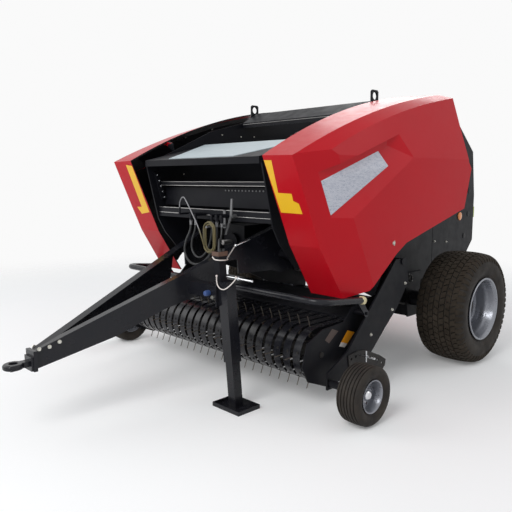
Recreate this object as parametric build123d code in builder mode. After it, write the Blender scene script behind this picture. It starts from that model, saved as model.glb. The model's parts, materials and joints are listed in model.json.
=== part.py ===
# Round baler, parked on its wheels and jack.
#
# Millimetres.  +Z is up, the drawbar points along -Y and +X is the machine's left.
# The origin is on the ground, on the centre line, half way along the machine.
# Side profiles are drawn on planes whose own axes are "behind the axle" and "height",
# so every pair of numbers in a table below is (distance behind the axle, height).

import os
from math import atan, cos, pi, radians, sin, tan

from build123d import *

# ---------------------------------------------------------------- driving dimensions

# overall
hitch_reach = 3060.0          # from the axle forward to the centre of the drawbar eye
eye_bore_r = 25.0
eye_outer_r = 56.0
eye_height = 400.0
eye_thickness = 32.0

# clearances
running_gap = 5.5             # between pieces that pass each other
seat_gap = 0.3                # between curved pieces that rest on each other
bearing_gap = 0.1             # between a shaft and its bore

# bale chamber
bale_width = 1210.0
wall_t = 12.0
wall_in = bale_width / 2
wall_out = wall_in + wall_t
chamber_y = 290.0
chamber_z = 1185.0
roller_pitch_r = 680.0
roller_r = 80.0
roller_wall = 8.0
roller_shaft_r = 20.0
rear_clear = 25.0             # from the rollers to the tailgate's rear edge
rear_reach = chamber_y + roller_pitch_r + roller_r + rear_clear
lamp_out = 35.0               # how far the tail lamps stand out behind that edge
axle_y = (hitch_reach + eye_outer_r - rear_reach - lamp_out) / 2
seam_y = 315.0                # where the tailgate meets the chassis
hinge_z = 1962.0
hinge_pin_r = 16.0
hinge_ear_r = 34.0

# main wheels
tyre_r = 425.0
tyre_w = 370.0
tyre_wall = 16.0
tyre_x = 1066.0
rim_r = 222.0
rim_bead_w = 158.0            # half the width between the rim's flanges
hub_r = 62.0
stub_r = 32.0
axle_tube = 90.0
axle_tube_z = 318.0

# gauge wheels
gauge_r = 176.0
gauge_w = 160.0
gauge_y = -1565.0
gauge_rim_r = 92.0
gauge_bead_w = 58.0
gauge_wall = 11.0
gauge_lift = 4.0              # the gauge wheels just clear the ground
gauge_stub_r = 15.0

# drawbar
beam_t = 10.0
beam_flange = 60.0
beam_tip_y = -2950.0
beam_tip_x = 27.0
beam_spread = 0.206           # how far a beam goes sideways for its way back
beam_tip_z = 466.0
beam_rise = 0.388

# jack
jack_x = 548.0
jack_y = -1920.0
jack_lean = 5.0
sleeve_size = 76.0
jack_tube = 62.0
jack_slide = 0.5

# pickup
pivot_y = -800.0
pivot_z = 850.0
pivot_r = 22.0
reel_y = -1570.0
reel_z = 345.0
tine_tip_r = 233.0
band_r = 165.0
band_t = 3.0
reel_tube_r = 45.0
pickup_half = 930.0
pickup_plate_t = 8.0
arm_gap = 62.0                # between a side plate and the gauge wheel's arm
arm_t = 12.0
arm_x = pickup_half + pickup_plate_t + arm_gap
gauge_x = arm_x + 250
tine_rows = 22
guard_tube_r = 21.0           # wind guard
guard_tube_y = -1700.0
guard_tube_z = 700.0

# side guards
panel_in = 700.0
panel_t = 10.0

os.makedirs("parts", exist_ok=True)


def side(x):
    """Plane across the machine at x: local axes are behind the axle and height."""
    return Plane(origin=(x, axle_y, 0), x_dir=(0, 1, 0), z_dir=(1, 0, 0))


def save(piece, name):
    piece.part.label = name
    export_step(piece.part, f"parts/{name}.step")


def ring(count, start, step):
    return [start + step * i for i in range(count)]


def slab(outline, x, thickness):
    """A flat plate with the given side profile, from x outwards; use inside a BuildPart."""
    with BuildSketch(side(x)) as profile:
        with BuildLine():
            Polyline(*outline, close=True)
        make_face()
    extrude(profile.sketch, amount=thickness)


def discs(centres, radius, x, thickness, mode=Mode.ADD):
    """Round bars or bores along X at each (behind the axle, height); use inside a BuildPart."""
    with BuildSketch(side(x)) as circles:
        with Locations(*centres):
            Circle(radius)
    extrude(circles.sketch, amount=thickness, mode=mode)


def box_bar(y_range, z_range, x, length):
    """A rectangular bar along X between two y and two z values; use inside a BuildPart."""
    (y0, y1), (z0, z1) = y_range, z_range
    slab([(y0, z0), (y1, z0), (y1, z1), (y0, z1)], x, length)


# ---------------------------------------------------------------- chamber walls and rollers

# angles are measured from the top of the chamber, forward for the chassis, back for the tailgate
front_angles = ring(6, 11, 20) + [150, 170]
rear_angles = ring(10, 9, 18)
front_rollers_at = [
    (chamber_y - roller_pitch_r * sin(radians(a)), chamber_z + roller_pitch_r * cos(radians(a)))
    for a in front_angles
]
rear_rollers_at = [
    (chamber_y + roller_pitch_r * sin(radians(a)), chamber_z + roller_pitch_r * cos(radians(a)))
    for a in rear_angles
]
hinge_at = (seam_y, hinge_z)
shaft_bore_r = roller_shaft_r + bearing_gap

wall_shoulder = (-600.0, 1925.0)     # on the walls' top edge, beside the lifting lugs
wall_profile = [
    (seam_y - running_gap / 2, 395),
    (seam_y - running_gap / 2, 1972),
    (-250, 1972),
    wall_shoulder,
    (-1130, 1790),
    (-1560, 1600),
    (-1760, 1515),
    (-1662, 1110),
    (-1600, 1000),
    (-1450, 830),
    (-1050, 700),
    (-760, 600),
    (-420, 450),
    (-100, 395),
]
with BuildPart() as chamber_walls:
    slab(wall_profile, wall_in, wall_t)
    discs([hinge_at], hinge_ear_r + running_gap, wall_in, wall_t, Mode.SUBTRACT)
    discs(front_rollers_at, shaft_bore_r, wall_in, wall_t, Mode.SUBTRACT)
    mirror(about=Plane.YZ)
save(chamber_walls, "chamber_walls")

gate_edge = seam_y + running_gap / 2
gate_profile = [
    (gate_edge, 395),
    (560, 400),
    (800, 520),
    (975, 735),
    (rear_reach - 5, 830),
    (rear_reach - 5, 1250),
    (1010, 1650),
    (700, 1890),
    (430, 1975),
    (gate_edge, hinge_z + hinge_ear_r - 4),
]
with BuildPart() as tailgate_walls:
    slab(gate_profile, wall_in, wall_t)
    discs([hinge_at], hinge_ear_r, wall_in, wall_t)
    discs([hinge_at], hinge_pin_r + bearing_gap, wall_in, wall_t, Mode.SUBTRACT)
    discs(rear_rollers_at, shaft_bore_r, wall_in, wall_t, Mode.SUBTRACT)
    mirror(about=Plane.YZ)
save(tailgate_walls, "tailgate_walls")


def rollers(centres):
    """Drums on through shafts, each drum held by a disc at its middle."""
    drum_half = wall_in - running_gap
    shaft_half = wall_out - 2
    discs(centres, roller_r, -drum_half, 2 * drum_half)
    discs(centres, roller_r - roller_wall, -drum_half, drum_half - roller_wall / 2, Mode.SUBTRACT)
    discs(centres, roller_r - roller_wall, roller_wall / 2, drum_half - roller_wall / 2, Mode.SUBTRACT)
    discs(centres, roller_shaft_r, -shaft_half, 2 * shaft_half)


with BuildPart() as front_rollers:
    rollers(front_rollers_at)
save(front_rollers, "front_rollers")

with BuildPart() as tailgate_rollers:
    rollers(rear_rollers_at)
save(tailgate_rollers, "tailgate_rollers")

# the tailgate's skin lies just inside its side plates' edges
skin_in = wall_in - seat_gap
skin_t = 4.0
skin_rear = rear_reach - 10
gate_skin = [
    (gate_edge + 60, 400),
    (552, 405),
    (795, 525),
    (968, 738),
    (skin_rear, 833),
    (skin_rear, 1249),
    (1005, 1646),
    (697, 1885),
    (430, 1969),
    (gate_edge + 60, 1974),
]
with BuildPart() as tailgate_skin:
    with BuildSketch(side(-skin_in)) as skin_sketch:
        with BuildLine() as skin_line:
            Polyline(*gate_skin)
            offset(amount=skin_t, side=Side.LEFT)
        make_face()
    extrude(amount=2 * skin_in)
save(tailgate_skin, "tailgate_skin")

with BuildPart() as tailgate_hinges:
    slab(
        [
            (seam_y - 165, hinge_z - 102),
            (seam_y - 25, hinge_z - 62),
            (seam_y + 26, hinge_z - 22),
            (seam_y + 22, hinge_z + 26),
            (seam_y - 165, hinge_z + 3),
        ],
        wall_out,
        wall_t,
    )
    discs([hinge_at], hinge_ear_r, wall_out, wall_t)
    discs([hinge_at], hinge_pin_r, wall_in - 2, 2 * wall_t + 14)
    mirror(about=Plane.YZ)
save(tailgate_hinges, "tailgate_hinges")

# ---------------------------------------------------------------- front of the chassis

sheet_t = 4.0
deck_front = (-1770.0, 1545.0)
deck_back = (-1200.0, 1680.0)
deck_slope = (deck_back[1] - deck_front[1]) / (deck_back[0] - deck_front[0])


def deck_top(y, above=0.0):
    """Point on the deck's upper face at y, or so far above it."""
    return (y, deck_front[1] + deck_slope * (y - deck_front[0]) + above)


# the dark deck over the front rollers, with a lip turned down along its front
with BuildPart() as front_deck:
    slab(
        [
            (deck_front[0], 1502),
            deck_front,
            deck_back,
            (deck_back[0], deck_back[1] - sheet_t),
            (deck_front[0] + sheet_t, deck_front[1] - sheet_t),
            (deck_front[0] + sheet_t, 1502),
        ],
        -skin_in,
        2 * skin_in,
    )
save(front_deck, "front_deck")

# the pale cover on the deck narrows towards the front: (behind the axle, half its width)
cover_edges = [(-1742, 345), (-1600, 403), (-1205, 594)]
with BuildPart() as front_cover:
    front_y, back_y = cover_edges[0][0], cover_edges[-1][0]
    slab(
        [deck_top(front_y), deck_top(back_y), deck_top(back_y, sheet_t), deck_top(front_y, sheet_t)],
        -skin_in,
        2 * skin_in,
    )
    with BuildSketch(Plane.XY) as plan:
        with BuildLine():
            Polyline(
                *[(half, axle_y + y) for y, half in cover_edges],
                *[(-half, axle_y + y) for y, half in reversed(cover_edges)],
                close=True,
            )
        make_face()
    extrude(plan.sketch, amount=2 * deck_back[1], mode=Mode.INTERSECT)
save(front_cover, "front_cover")

with BuildPart() as top_bridge:
    slab(
        [
            (-470, 1955),
            (-610, 1970),
            (-775, 1880),
            (-775, 1840),
            (-775 + sheet_t, 1840),
            (-775 + sheet_t, 1880 - sheet_t),
            (-609, 1970 - sheet_t),
            (-470, 1955 - sheet_t),
        ],
        -skin_in,
        2 * skin_in,
    )
save(top_bridge, "top_bridge")

with BuildPart() as front_tube:
    box_bar((-1640, -1605), (1360, 1392), -skin_in, 2 * skin_in)
save(front_tube, "front_tube")

with BuildPart() as front_panel:
    box_bar((-1594, -1590), (1215, 1350), -skin_in, 2 * skin_in)
save(front_panel, "front_panel")

beam_face_y = -1655.0
front_beam_z = (1130.0, 1200.0)
with BuildPart() as front_beam:
    box_bar((beam_face_y, beam_face_y + 60), front_beam_z, -skin_in, 2 * skin_in)
save(front_beam, "front_beam")


def ahead(y, forward=0.0):
    """Plane across the machine at y, or so far ahead of it: it faces forwards."""
    return Plane.XZ.offset(forward - axle_y - y)


# the valve's lever: a flat bar on a pivot that stands out from the front beam
lever_out = 35.0
with BuildPart() as control_lever:
    with BuildSketch(ahead(beam_face_y)):
        with Locations((264, 1165)):
            Circle(14)
    extrude(amount=lever_out)
    with BuildSketch(ahead(beam_face_y, lever_out)):
        with BuildLine():
            Polyline((202, 1040), (218, 1040), (274, 1165), (282, 1280), (266, 1280), (254, 1165), close=True)
        make_face()
    extrude(amount=8)
save(control_lever, "control_lever")

cross_y = (-1200.0, -1110.0)
cross_z = (1000.0, 1140.0)
with BuildPart() as cross_beam:
    box_bar(cross_y, cross_z, -skin_in, 2 * skin_in)
save(cross_beam, "cross_beam")

# ---------------------------------------------------------------- drawbar

beam_angle = atan(beam_spread)


def beam_top(y):
    return beam_tip_z + beam_rise * (y - beam_tip_y)


def along(y):
    return (y - beam_tip_y) / cos(beam_angle)


beam_plane = Plane(
    origin=(beam_tip_x, axle_y + beam_tip_y, 0),
    x_dir=(sin(beam_angle), cos(beam_angle), 0),
    z_dir=(cos(beam_angle), -sin(beam_angle), 0),
)
beam_rear = cross_y[0]
beam_past = beam_rear + 40
# the web's lower edge, with a notch over the lifted wind guard and a gusset behind it
beam_bottom = [
    (beam_tip_y, 362),
    (-2480, 485),
    (-2195, 603),
    (-1870, 690),
    (-1825, 700),
    (-1790, 866),
    (-1665, 880),
    (-1658, 782),
    (-1390, 782),
    (-1320, 760),
    (beam_past, 800),
]
cross_shaft_at = (-1300.0, 890.0)
cross_shaft_r = 34.0
with BuildPart() as drawbar:
    with BuildSketch(beam_plane):
        with BuildLine():
            Polyline(
                *[(along(y), z) for y, z in beam_bottom],
                (along(beam_past), beam_top(beam_past)),
                (0, beam_top(beam_tip_y)),
                close=True,
            )
        make_face()
    extrude(amount=-beam_t)
    with BuildSketch(beam_plane):
        with BuildLine():
            Polyline(
                (0, beam_top(beam_tip_y)),
                (along(beam_past), beam_top(beam_past)),
                (along(beam_past), beam_top(beam_past) - beam_t),
                (0, beam_top(beam_tip_y) - beam_t),
                close=True,
            )
        make_face()
    extrude(amount=-beam_flange)
    split(bisect_by=Plane.XZ.offset(-axle_y - beam_rear), keep=Keep.TOP)
    mirror(about=Plane.YZ)
    discs([cross_shaft_at], cross_shaft_r + running_gap, 0, wall_in, Mode.SUBTRACT)
    with BuildSketch(Plane.XZ.offset(-axle_y - beam_tip_y - 6)):
        with Locations((0, 414)):
            Rectangle(100, 116)
    extrude(amount=22)
save(drawbar, "drawbar")

eye_y = -hitch_reach
eye_plate_y = beam_tip_y - 16         # rear face of the plate that the eye's neck stands on
eye_plane = Plane(origin=(0, axle_y + eye_y, eye_height), x_dir=(1, 0, 0), z_dir=(0, -1, 0))
with BuildPart() as hitch_eye:
    with BuildSketch(eye_plane) as ring_face:
        with Locations(((eye_bore_r + eye_outer_r) / 2, 0)):
            Rectangle(eye_outer_r - eye_bore_r, eye_thickness)
        fillet(ring_face.vertices().sort_by(Axis.X)[-2:], radius=eye_thickness * 0.4)
    revolve(ring_face.sketch, axis=Axis((0, axle_y + eye_y, 0), (0, 0, 1)))
    with BuildSketch(Plane.XY.offset(eye_height - eye_thickness / 2)):
        with Locations((0, axle_y + (eye_y + eye_plate_y) / 2 + 12)):
            Rectangle(46, eye_plate_y - eye_y - 24)
    extrude(amount=eye_thickness)
    with BuildSketch(Plane.XZ.offset(-axle_y - eye_plate_y)):
        with Locations((0, eye_height)):
            Rectangle(90, 80)
    extrude(amount=12)
    with Locations((0, axle_y + eye_y, eye_height)):
        Cylinder(eye_bore_r, eye_thickness * 2, mode=Mode.SUBTRACT)
save(hitch_eye, "hitch_eye")

# ---------------------------------------------------------------- gearbox and lifting lugs

box_y = (-1430.0, cross_y[0])
box_z = (860.0, 1080.0)
stub_z = 960.0
pto_r = 17.5
with BuildPart() as gearbox:
    box_bar(box_y, box_z, -110, 220)
    with BuildSketch(Plane.XZ.offset(-axle_y - box_y[0])):
        with Locations((0, stub_z)):
            Circle(62)
    extrude(amount=30)
    discs([cross_shaft_at], cross_shaft_r, 110, wall_in - 110 - seat_gap)
save(gearbox, "gearbox")

with BuildPart() as pto_stub:
    with BuildSketch(Plane.XZ.offset(-axle_y - box_y[0] + 30)):
        with Locations((0, stub_z)):
            Circle(pto_r)
    extrude(amount=80)
save(pto_stub, "pto_stub")

lug_rise = 119.0              # above the walls' shoulder
lug_lap = 125.0               # below it, along the wall
lug_bore_r = 28.0
lug_half = 42.0
lug_y = wall_shoulder[0] - 12
lug_top = wall_shoulder[1] + lug_rise
lug_foot = wall_shoulder[1] - lug_lap
with BuildPart() as lifting_lugs:
    slab(
        [
            (lug_y - lug_half, lug_foot),
            (lug_y + lug_half, lug_foot),
            (lug_y + lug_half, lug_top - 12),
            (lug_y + lug_half - 12, lug_top),
            (lug_y - lug_half + 12, lug_top),
            (lug_y - lug_half, lug_top - 12),
        ],
        wall_out,
        wall_t,
    )
    discs([(lug_y, lug_top - lug_half)], lug_bore_r, wall_out, wall_t, Mode.SUBTRACT)
    mirror(about=Plane.YZ)
save(lifting_lugs, "lifting_lugs")

# ---------------------------------------------------------------- axle and main wheels

bracket_t = 15.0
with BuildPart() as axle_frame:
    half_tube = axle_tube / 2
    tube_zs = (axle_tube_z - half_tube, axle_tube_z + half_tube)
    box_bar((-half_tube, half_tube), tube_zs, 0, wall_out + bracket_t)
    slab([(-130, 640), (130, 640), (70, 272), (-70, 272)], wall_out, bracket_t)
    discs([(0, tyre_r)], 62, wall_out, 130)
    discs([(0, tyre_r)], stub_r, wall_out, tyre_x + 36 - wall_out)
    mirror(about=Plane.YZ)
save(axle_frame, "axle_frame")


def spin_plane(x, y, z):
    """Half plane through a wheel's axis: local axes are across the wheel and radius."""
    return Plane(origin=(x, axle_y + y, z), x_dir=(1, 0, 0), z_dir=(0, -1, 0))


def tyre_section(half_w, radius, bead_r, bead_w, wall):
    """Outline of a tyre's section, open towards the rim."""
    bead_h = 0.08 * bead_r
    shoulder = radius - 0.06 * radius
    belly = bead_r + 0.42 * (radius - bead_r)
    with BuildLine() as line:
        left = Line((-bead_w, bead_r), (-bead_w, bead_r + bead_h))
        side_l = ThreePointArc(left @ 1, (-half_w, belly), (-half_w * 0.93, shoulder))
        crown = ThreePointArc(side_l @ 1, (0, radius), (half_w * 0.93, shoulder))
        side_r = ThreePointArc(crown @ 1, (half_w, belly), (bead_w, bead_r + bead_h))
        Line(side_r @ 1, (bead_w, bead_r))
        Line((bead_w, bead_r), (bead_w - wall, bead_r))
        inner_r = ThreePointArc(
            (bead_w - wall, bead_r), (half_w - wall, belly), (half_w * 0.93 - wall, shoulder - wall)
        )
        inner_c = ThreePointArc(
            inner_r @ 1, (0, radius - 1.6 * wall), (-half_w * 0.93 + wall, shoulder - wall)
        )
        inner_l = ThreePointArc(inner_c @ 1, (-half_w + wall, belly), (-bead_w + wall, bead_r))
        Line(inner_l @ 1, left @ 0)
    return line


def wheel_tyre(x, y, radius, half_w, bead_r, bead_w, wall, lift=0.0):
    outline = tyre_section(half_w, radius, bead_r, bead_w, wall)
    with BuildSketch(spin_plane(x, y, radius + lift)) as section:
        add(outline.line)
        make_face()
    revolve(section.sketch, axis=Axis((x, axle_y + y, radius + lift), (1, 0, 0)))


def wheel_rim(x, y, z, bead_r, bead_w, disc_w, hub, hub_w, bore, t):
    """Barrel with two flanges, a disc and a bored hub; disc_w is signed outwards."""
    hub_in, hub_out = hub_w
    flange = 0.055 * bead_r
    barrel = [
        (-bead_w - 6, bead_r - t),
        (bead_w + 6, bead_r - t),
        (bead_w + 6, bead_r + flange),
        (bead_w + seat_gap, bead_r + flange),
        (bead_w + seat_gap, bead_r - seat_gap),
        (-bead_w - seat_gap, bead_r - seat_gap),
        (-bead_w - seat_gap, bead_r + flange),
        (-bead_w - 6, bead_r + flange),
    ]
    with BuildSketch(spin_plane(x, y, z)) as section:
        with BuildLine():
            Polyline(*barrel, close=True)
        make_face()
        with BuildLine():
            Polyline(
                (disc_w, hub - 2),
                (disc_w + t, hub - 2),
                (disc_w + t, bead_r - t + 1),
                (disc_w, bead_r - t + 1),
                close=True,
            )
        make_face()
        with BuildLine():
            Polyline((hub_in, bore), (hub_out, bore), (hub_out, hub), (hub_in, hub), close=True)
        make_face()
    revolve(section.sketch, axis=Axis((x, axle_y + y, z), (1, 0, 0)))


sides = [("left", 1), ("right", -1)]
for hand, out in sides:
    with BuildPart() as tyre:
        wheel_tyre(out * tyre_x, 0, tyre_r, tyre_w / 2, rim_r, rim_bead_w, tyre_wall)
    save(tyre, f"tyre_{hand}")
    hub_w = (-90.0, 46.0) if out > 0 else (-46.0, 90.0)
    with BuildPart() as rim:
        wheel_rim(
            out * tyre_x, 0, tyre_r, rim_r, rim_bead_w, 10 if out > 0 else -18, hub_r, hub_w,
            stub_r + bearing_gap, 8,
        )
    save(rim, f"rim_{hand}")

# ---------------------------------------------------------------- pickup

plate_out = pickup_half + pickup_plate_t
pickup_bore_r = pivot_r + bearing_gap
pivot_at = (pivot_y, pivot_z)
reel_at = (reel_y, reel_z)
reel_shaft_r = 18.0
with BuildPart() as pickup_pivots:
    discs([pivot_at], 60, wall_out, 14)
    discs([pivot_at], pivot_r, wall_out, arm_x + arm_t + 10 - wall_out)
    mirror(about=Plane.YZ)
save(pickup_pivots, "pickup_pivots")

# the wind guard hangs on pins low on the side plates, so that it clears the side guards
guard_pin_at = (-1230.0, 560.0)
guard_end = (-1290.0, 655.0)
guard_x = arm_x + 34
pickup_profile = [
    (-1745, 300),
    (-1690, 200),
    (-1520, 130),
    (-1340, 132),
    (-1180, 260),
    (-900, 560),
    (-755, 820),
    (-770, 890),
    (-840, 890),
    (-1000, 640),
    (guard_pin_at[0] + 20, guard_pin_at[1] + 38),
    (guard_pin_at[0] - 40, guard_pin_at[1] + 30),
    (-1350, 510),
    (-1560, 500),
    (-1700, 440),
]
deck_face_y = -1258.0         # front face of the plate behind the reel
deck_back_y = deck_face_y + 4
deck = [
    (deck_back_y, 180), (deck_back_y, 512), (-860, 560), (-860, 565), (deck_face_y, 516), (deck_face_y, 180)
]
with BuildPart() as pickup_frame:
    slab(pickup_profile, pickup_half, pickup_plate_t)
    discs([pivot_at], pickup_bore_r, pickup_half, pickup_plate_t, Mode.SUBTRACT)
    discs([reel_at], reel_shaft_r + bearing_gap, pickup_half, pickup_plate_t, Mode.SUBTRACT)
    slab(deck, 0, pickup_half)
    box_bar((deck_back_y, deck_back_y + 60), (230, 290), 0, pickup_half)
    mirror(about=Plane.YZ)
save(pickup_frame, "pickup_frame")

arm_profile = [
    (-885, 868),
    (-745, 868),
    (-715, 700),
    (-860, 530),
    (-990, 425),
    (-1150, 285),
    (-1530, 225),
    (-1530, 145),
    (-1600, 145),
    (-1600, 250),
    (-1400, 345),
]
spacers = [(-1150, 400), (-900, 700)]
gauge_stub_at = (gauge_y, gauge_r + gauge_lift)
with BuildPart() as gauge_arms:
    slab(arm_profile, arm_x, arm_t)
    discs([pivot_at], pickup_bore_r, arm_x, arm_t, Mode.SUBTRACT)
    discs(spacers, 22, plate_out, arm_x - plate_out)
    discs([gauge_stub_at], 24, arm_x, gauge_x - gauge_w / 2 - 12 - arm_x)
    discs([gauge_stub_at], gauge_stub_r, arm_x, gauge_x + 22 - arm_x)
    mirror(about=Plane.YZ)
save(gauge_arms, "gauge_arms")

for hand, out in sides:
    with BuildPart() as tyre:
        wheel_tyre(
            out * gauge_x, gauge_y, gauge_r, gauge_w / 2, gauge_rim_r, gauge_bead_w, gauge_wall, gauge_lift
        )
    save(tyre, f"gauge_tyre_{hand}")
    hub_w = (-60.0, 30.0) if out > 0 else (-30.0, 60.0)
    with BuildPart() as rim:
        wheel_rim(
            out * gauge_x, gauge_y, gauge_r + gauge_lift, gauge_rim_r, gauge_bead_w,
            4 if out > 0 else -9, 32, hub_w, gauge_stub_r + bearing_gap, 5,
        )
    save(rim, f"gauge_rim_{hand}")

# stripper bands: narrow loops around the reel, seated on the plate behind it
row_pitch = 2 * (pickup_half - 50) / tine_rows
band_w = row_pitch - 24
band_rear = deck_face_y - seat_gap
with BuildPart() as stripper_bands:
    for i in range(tine_rows + 1):
        middle = -pickup_half + 50 + row_pitch * i
        with BuildSketch(side(middle - band_w / 2)) as band:
            with BuildLine() as loop:
                top = Line((band_rear, reel_z + band_r), (reel_y, reel_z + band_r))
                nose = ThreePointArc(top @ 1, (reel_y - band_r, reel_z), (reel_y, reel_z - band_r))
                under = Line(nose @ 1, (band_rear, reel_z - band_r))
                Line(under @ 1, (band_rear, reel_z - band_r + band_t))
                Line((band_rear, reel_z - band_r + band_t), (reel_y, reel_z - band_r + band_t))
                inner = ThreePointArc(
                    (reel_y, reel_z - band_r + band_t),
                    (reel_y - band_r + band_t, reel_z),
                    (reel_y, reel_z + band_r - band_t),
                )
                Line(inner @ 1, (band_rear, reel_z + band_r - band_t))
                Line((band_rear, reel_z + band_r - band_t), top @ 0)
            make_face()
        extrude(amount=band_w)
save(stripper_bands, "stripper_bands")

# the reel: a tube on a shaft, with rows of tines that pass between the bands
tine_w = 6.0
tine_bend_r = 165.0
tine_lean = 26.0
tine_reach = (tine_tip_r**2 - (tine_lean + tine_w) ** 2) ** 0.5
# a cam leads each bar of tines: (where it stands round the reel, how far its tips lean)
tine_bars = [(90, tine_lean), (180, 0), (270, -tine_lean), (0, 0)]


def turned(points, turn, centre):
    """The points turned by an angle in degrees about their origin, which comes to centre."""
    c, s = cos(radians(turn)), sin(radians(turn))
    return [(centre[0] + u * c - v * s, centre[1] + u * s + v * c) for u, v in points]


with BuildPart() as tine_reel:
    discs([reel_at], reel_tube_r, -pickup_half + running_gap, 2 * (pickup_half - running_gap))
    discs([reel_at], reel_shaft_r, -plate_out, 2 * plate_out)
    for i in range(tine_rows):
        gap_x = -pickup_half + 50 + row_pitch * (i + 0.5)
        for turn, tip_lean in tine_bars:
            half = tine_w / 2
            outline = [(reel_tube_r - 4, -half), (tine_bend_r, -half), (tine_reach, tip_lean - half)]
            outline += [(tine_reach, tip_lean + half), (tine_bend_r, half), (reel_tube_r - 4, half)]
            slab(turned(outline, turn, reel_at), gap_x - half, tine_w)
save(tine_reel, "tine_reel")

# wind guard: a tube across the front, with a lug under each end
lug_pin_r = 10.0
with BuildPart() as wind_guard:
    with BuildLine() as route:
        FilletPolyline(
            (-guard_x, axle_y + guard_end[0], guard_end[1]),
            (-guard_x, axle_y + guard_tube_y, guard_tube_z),
            (guard_x, axle_y + guard_tube_y, guard_tube_z),
            (guard_x, axle_y + guard_end[0], guard_end[1]),
            radius=110,
        )
    with BuildSketch(Plane(origin=route.line @ 0, z_dir=route.line % 0)):
        Circle(guard_tube_r)
    sweep()
    with BuildPart(mode=Mode.PRIVATE) as lug:
        with BuildSketch(side(guard_x - 16)):
            with BuildLine():
                Polyline(
                    (guard_pin_at[0] - 24, guard_pin_at[1]),
                    (guard_pin_at[0] + 24, guard_pin_at[1]),
                    (guard_end[0] + 14, guard_end[1]),
                    (guard_end[0] - 50, guard_end[1] + 4),
                    close=True,
                )
            make_face()
            with Locations(guard_pin_at):
                Circle(24)
                Circle(lug_pin_r + bearing_gap, mode=Mode.SUBTRACT)
        extrude(amount=8)
        mirror(about=Plane.YZ)
    add(lug.part)
save(wind_guard, "wind_guard")

with BuildPart() as guard_pins:
    discs([guard_pin_at], lug_pin_r + 6, plate_out, guard_x - 16 - seat_gap - plate_out)
    discs([guard_pin_at], lug_pin_r, plate_out, guard_x - plate_out)
    mirror(about=Plane.YZ)
save(guard_pins, "guard_pins")

# ---------------------------------------------------------------- jack

lean = radians(jack_lean)
jack_plane = Plane(
    origin=(jack_x, axle_y + jack_y, 0), x_dir=(1, 0, 0), z_dir=(0, -sin(lean), cos(lean))
)
sleeve_from, sleeve_to = 300.0, 800.0
sleeve_cap = 8.0
holder_x = -48.0              # the hose holder stands beside the leg's axis
holder_size = 52.0
holder_to = 985.0
with BuildPart() as jack_sleeve:
    with BuildSketch(jack_plane.offset(sleeve_from)):
        Rectangle(sleeve_size, sleeve_size)
        Rectangle(jack_tube + 2 * jack_slide, jack_tube + 2 * jack_slide, mode=Mode.SUBTRACT)
    extrude(amount=sleeve_to - sleeve_from)
    cap_in, cap_out = holder_x - holder_size / 2, sleeve_size / 2
    with BuildSketch(jack_plane.offset(sleeve_to)):
        with Locations(((cap_in + cap_out) / 2, 0)):
            Rectangle(cap_out - cap_in, sleeve_size)
    extrude(amount=sleeve_cap)
save(jack_sleeve, "jack_sleeve")

# an open tube on the sleeve's cap: the hoses' couplings are parked in it
with BuildPart() as hose_holder:
    with BuildSketch(jack_plane.offset(sleeve_to + sleeve_cap)):
        with Locations((holder_x, 0)):
            Rectangle(holder_size, holder_size)
            Rectangle(holder_size - 10, holder_size - 10, mode=Mode.SUBTRACT)
    extrude(amount=holder_to - sleeve_to - sleeve_cap)
    with BuildSketch(jack_plane.offset(holder_to - 45)):
        with Locations((holder_x, 0)):
            Rectangle(holder_size + 8, holder_size + 8)
            Rectangle(holder_size, holder_size, mode=Mode.SUBTRACT)
    extrude(amount=40)
save(hose_holder, "hose_holder")

foot_size = (240.0, 180.0)
foot_lip = 26.0
with BuildPart() as jack_leg:
    with BuildSketch(jack_plane.offset(-20)):
        Rectangle(jack_tube, jack_tube)
        Rectangle(jack_tube - 10, jack_tube - 10, mode=Mode.SUBTRACT)
    extrude(amount=20 + sleeve_to - 290)
    split(bisect_by=Plane.XY, keep=Keep.TOP)
    with BuildSketch(Plane.XY):
        with Locations((jack_x, axle_y + jack_y)):
            Rectangle(*foot_size)
    extrude(amount=8)
    with BuildSketch(Plane.XY):
        with Locations((jack_x, axle_y + jack_y)):
            Rectangle(*foot_size)
            Rectangle(foot_size[0] - 12, foot_size[1] - 12, mode=Mode.SUBTRACT)
    extrude(amount=foot_lip)
save(jack_leg, "jack_leg")

# the jack's arm: a stub beam from the drawbar's web to a plate that the sleeve is welded on
arm_z = (690.0, 770.0)
arm_y = jack_y - 730 * tan(lean)
sleeve_in = jack_x - sleeve_size / 2
with BuildPart() as jack_arm:
    box_bar((arm_y - 40, arm_y + 40), arm_z, 150, sleeve_in - 10 - 150)
    box_bar((arm_y - 55, arm_y + 50), (arm_z[0] - 40, arm_z[1] + 20), sleeve_in - 10, 10)
    split(bisect_by=beam_plane, keep=Keep.TOP)
save(jack_arm, "jack_arm")

# ---------------------------------------------------------------- side guards

# the guard's own sections: the top edge is an arc through three points
top_inner = [(-1840, 1545), (-1130, 1842), (-250, 2022)]
top_fold = [(-1840, 1540), (-1010, 1848), (-250, 2010)]
top_outer = [(-1840, 1250), (-1030, 1690), (-250, 1945)]
fold_x = 940.0
past_x = 1150.0
guard_rear = [(-150, 1525), (-110, 1480), (-170, 1190), (-840, 985), (-940, 920), (-1190, 700)]
guard_front = [(-1390, 670), (-1600, 1000)]

# facets by three points each: (across, behind the axle, height)
facet_points = {
    "front_side": [(940, -1840, 1545), (940, -1690, 1190), (1020, -1380, 1172)],
    "front_low": [(940, -1690, 1190), (1025, -1190, 700), (1020, -1380, 1172)],
    "upper": [(1010, -1590, 1550), (1044, -300, 1957), (1080, -815, 1545)],
    "lower": [(1020, -1380, 1172), (1025, -1190, 700), (1080, -815, 1545)],
}


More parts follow.
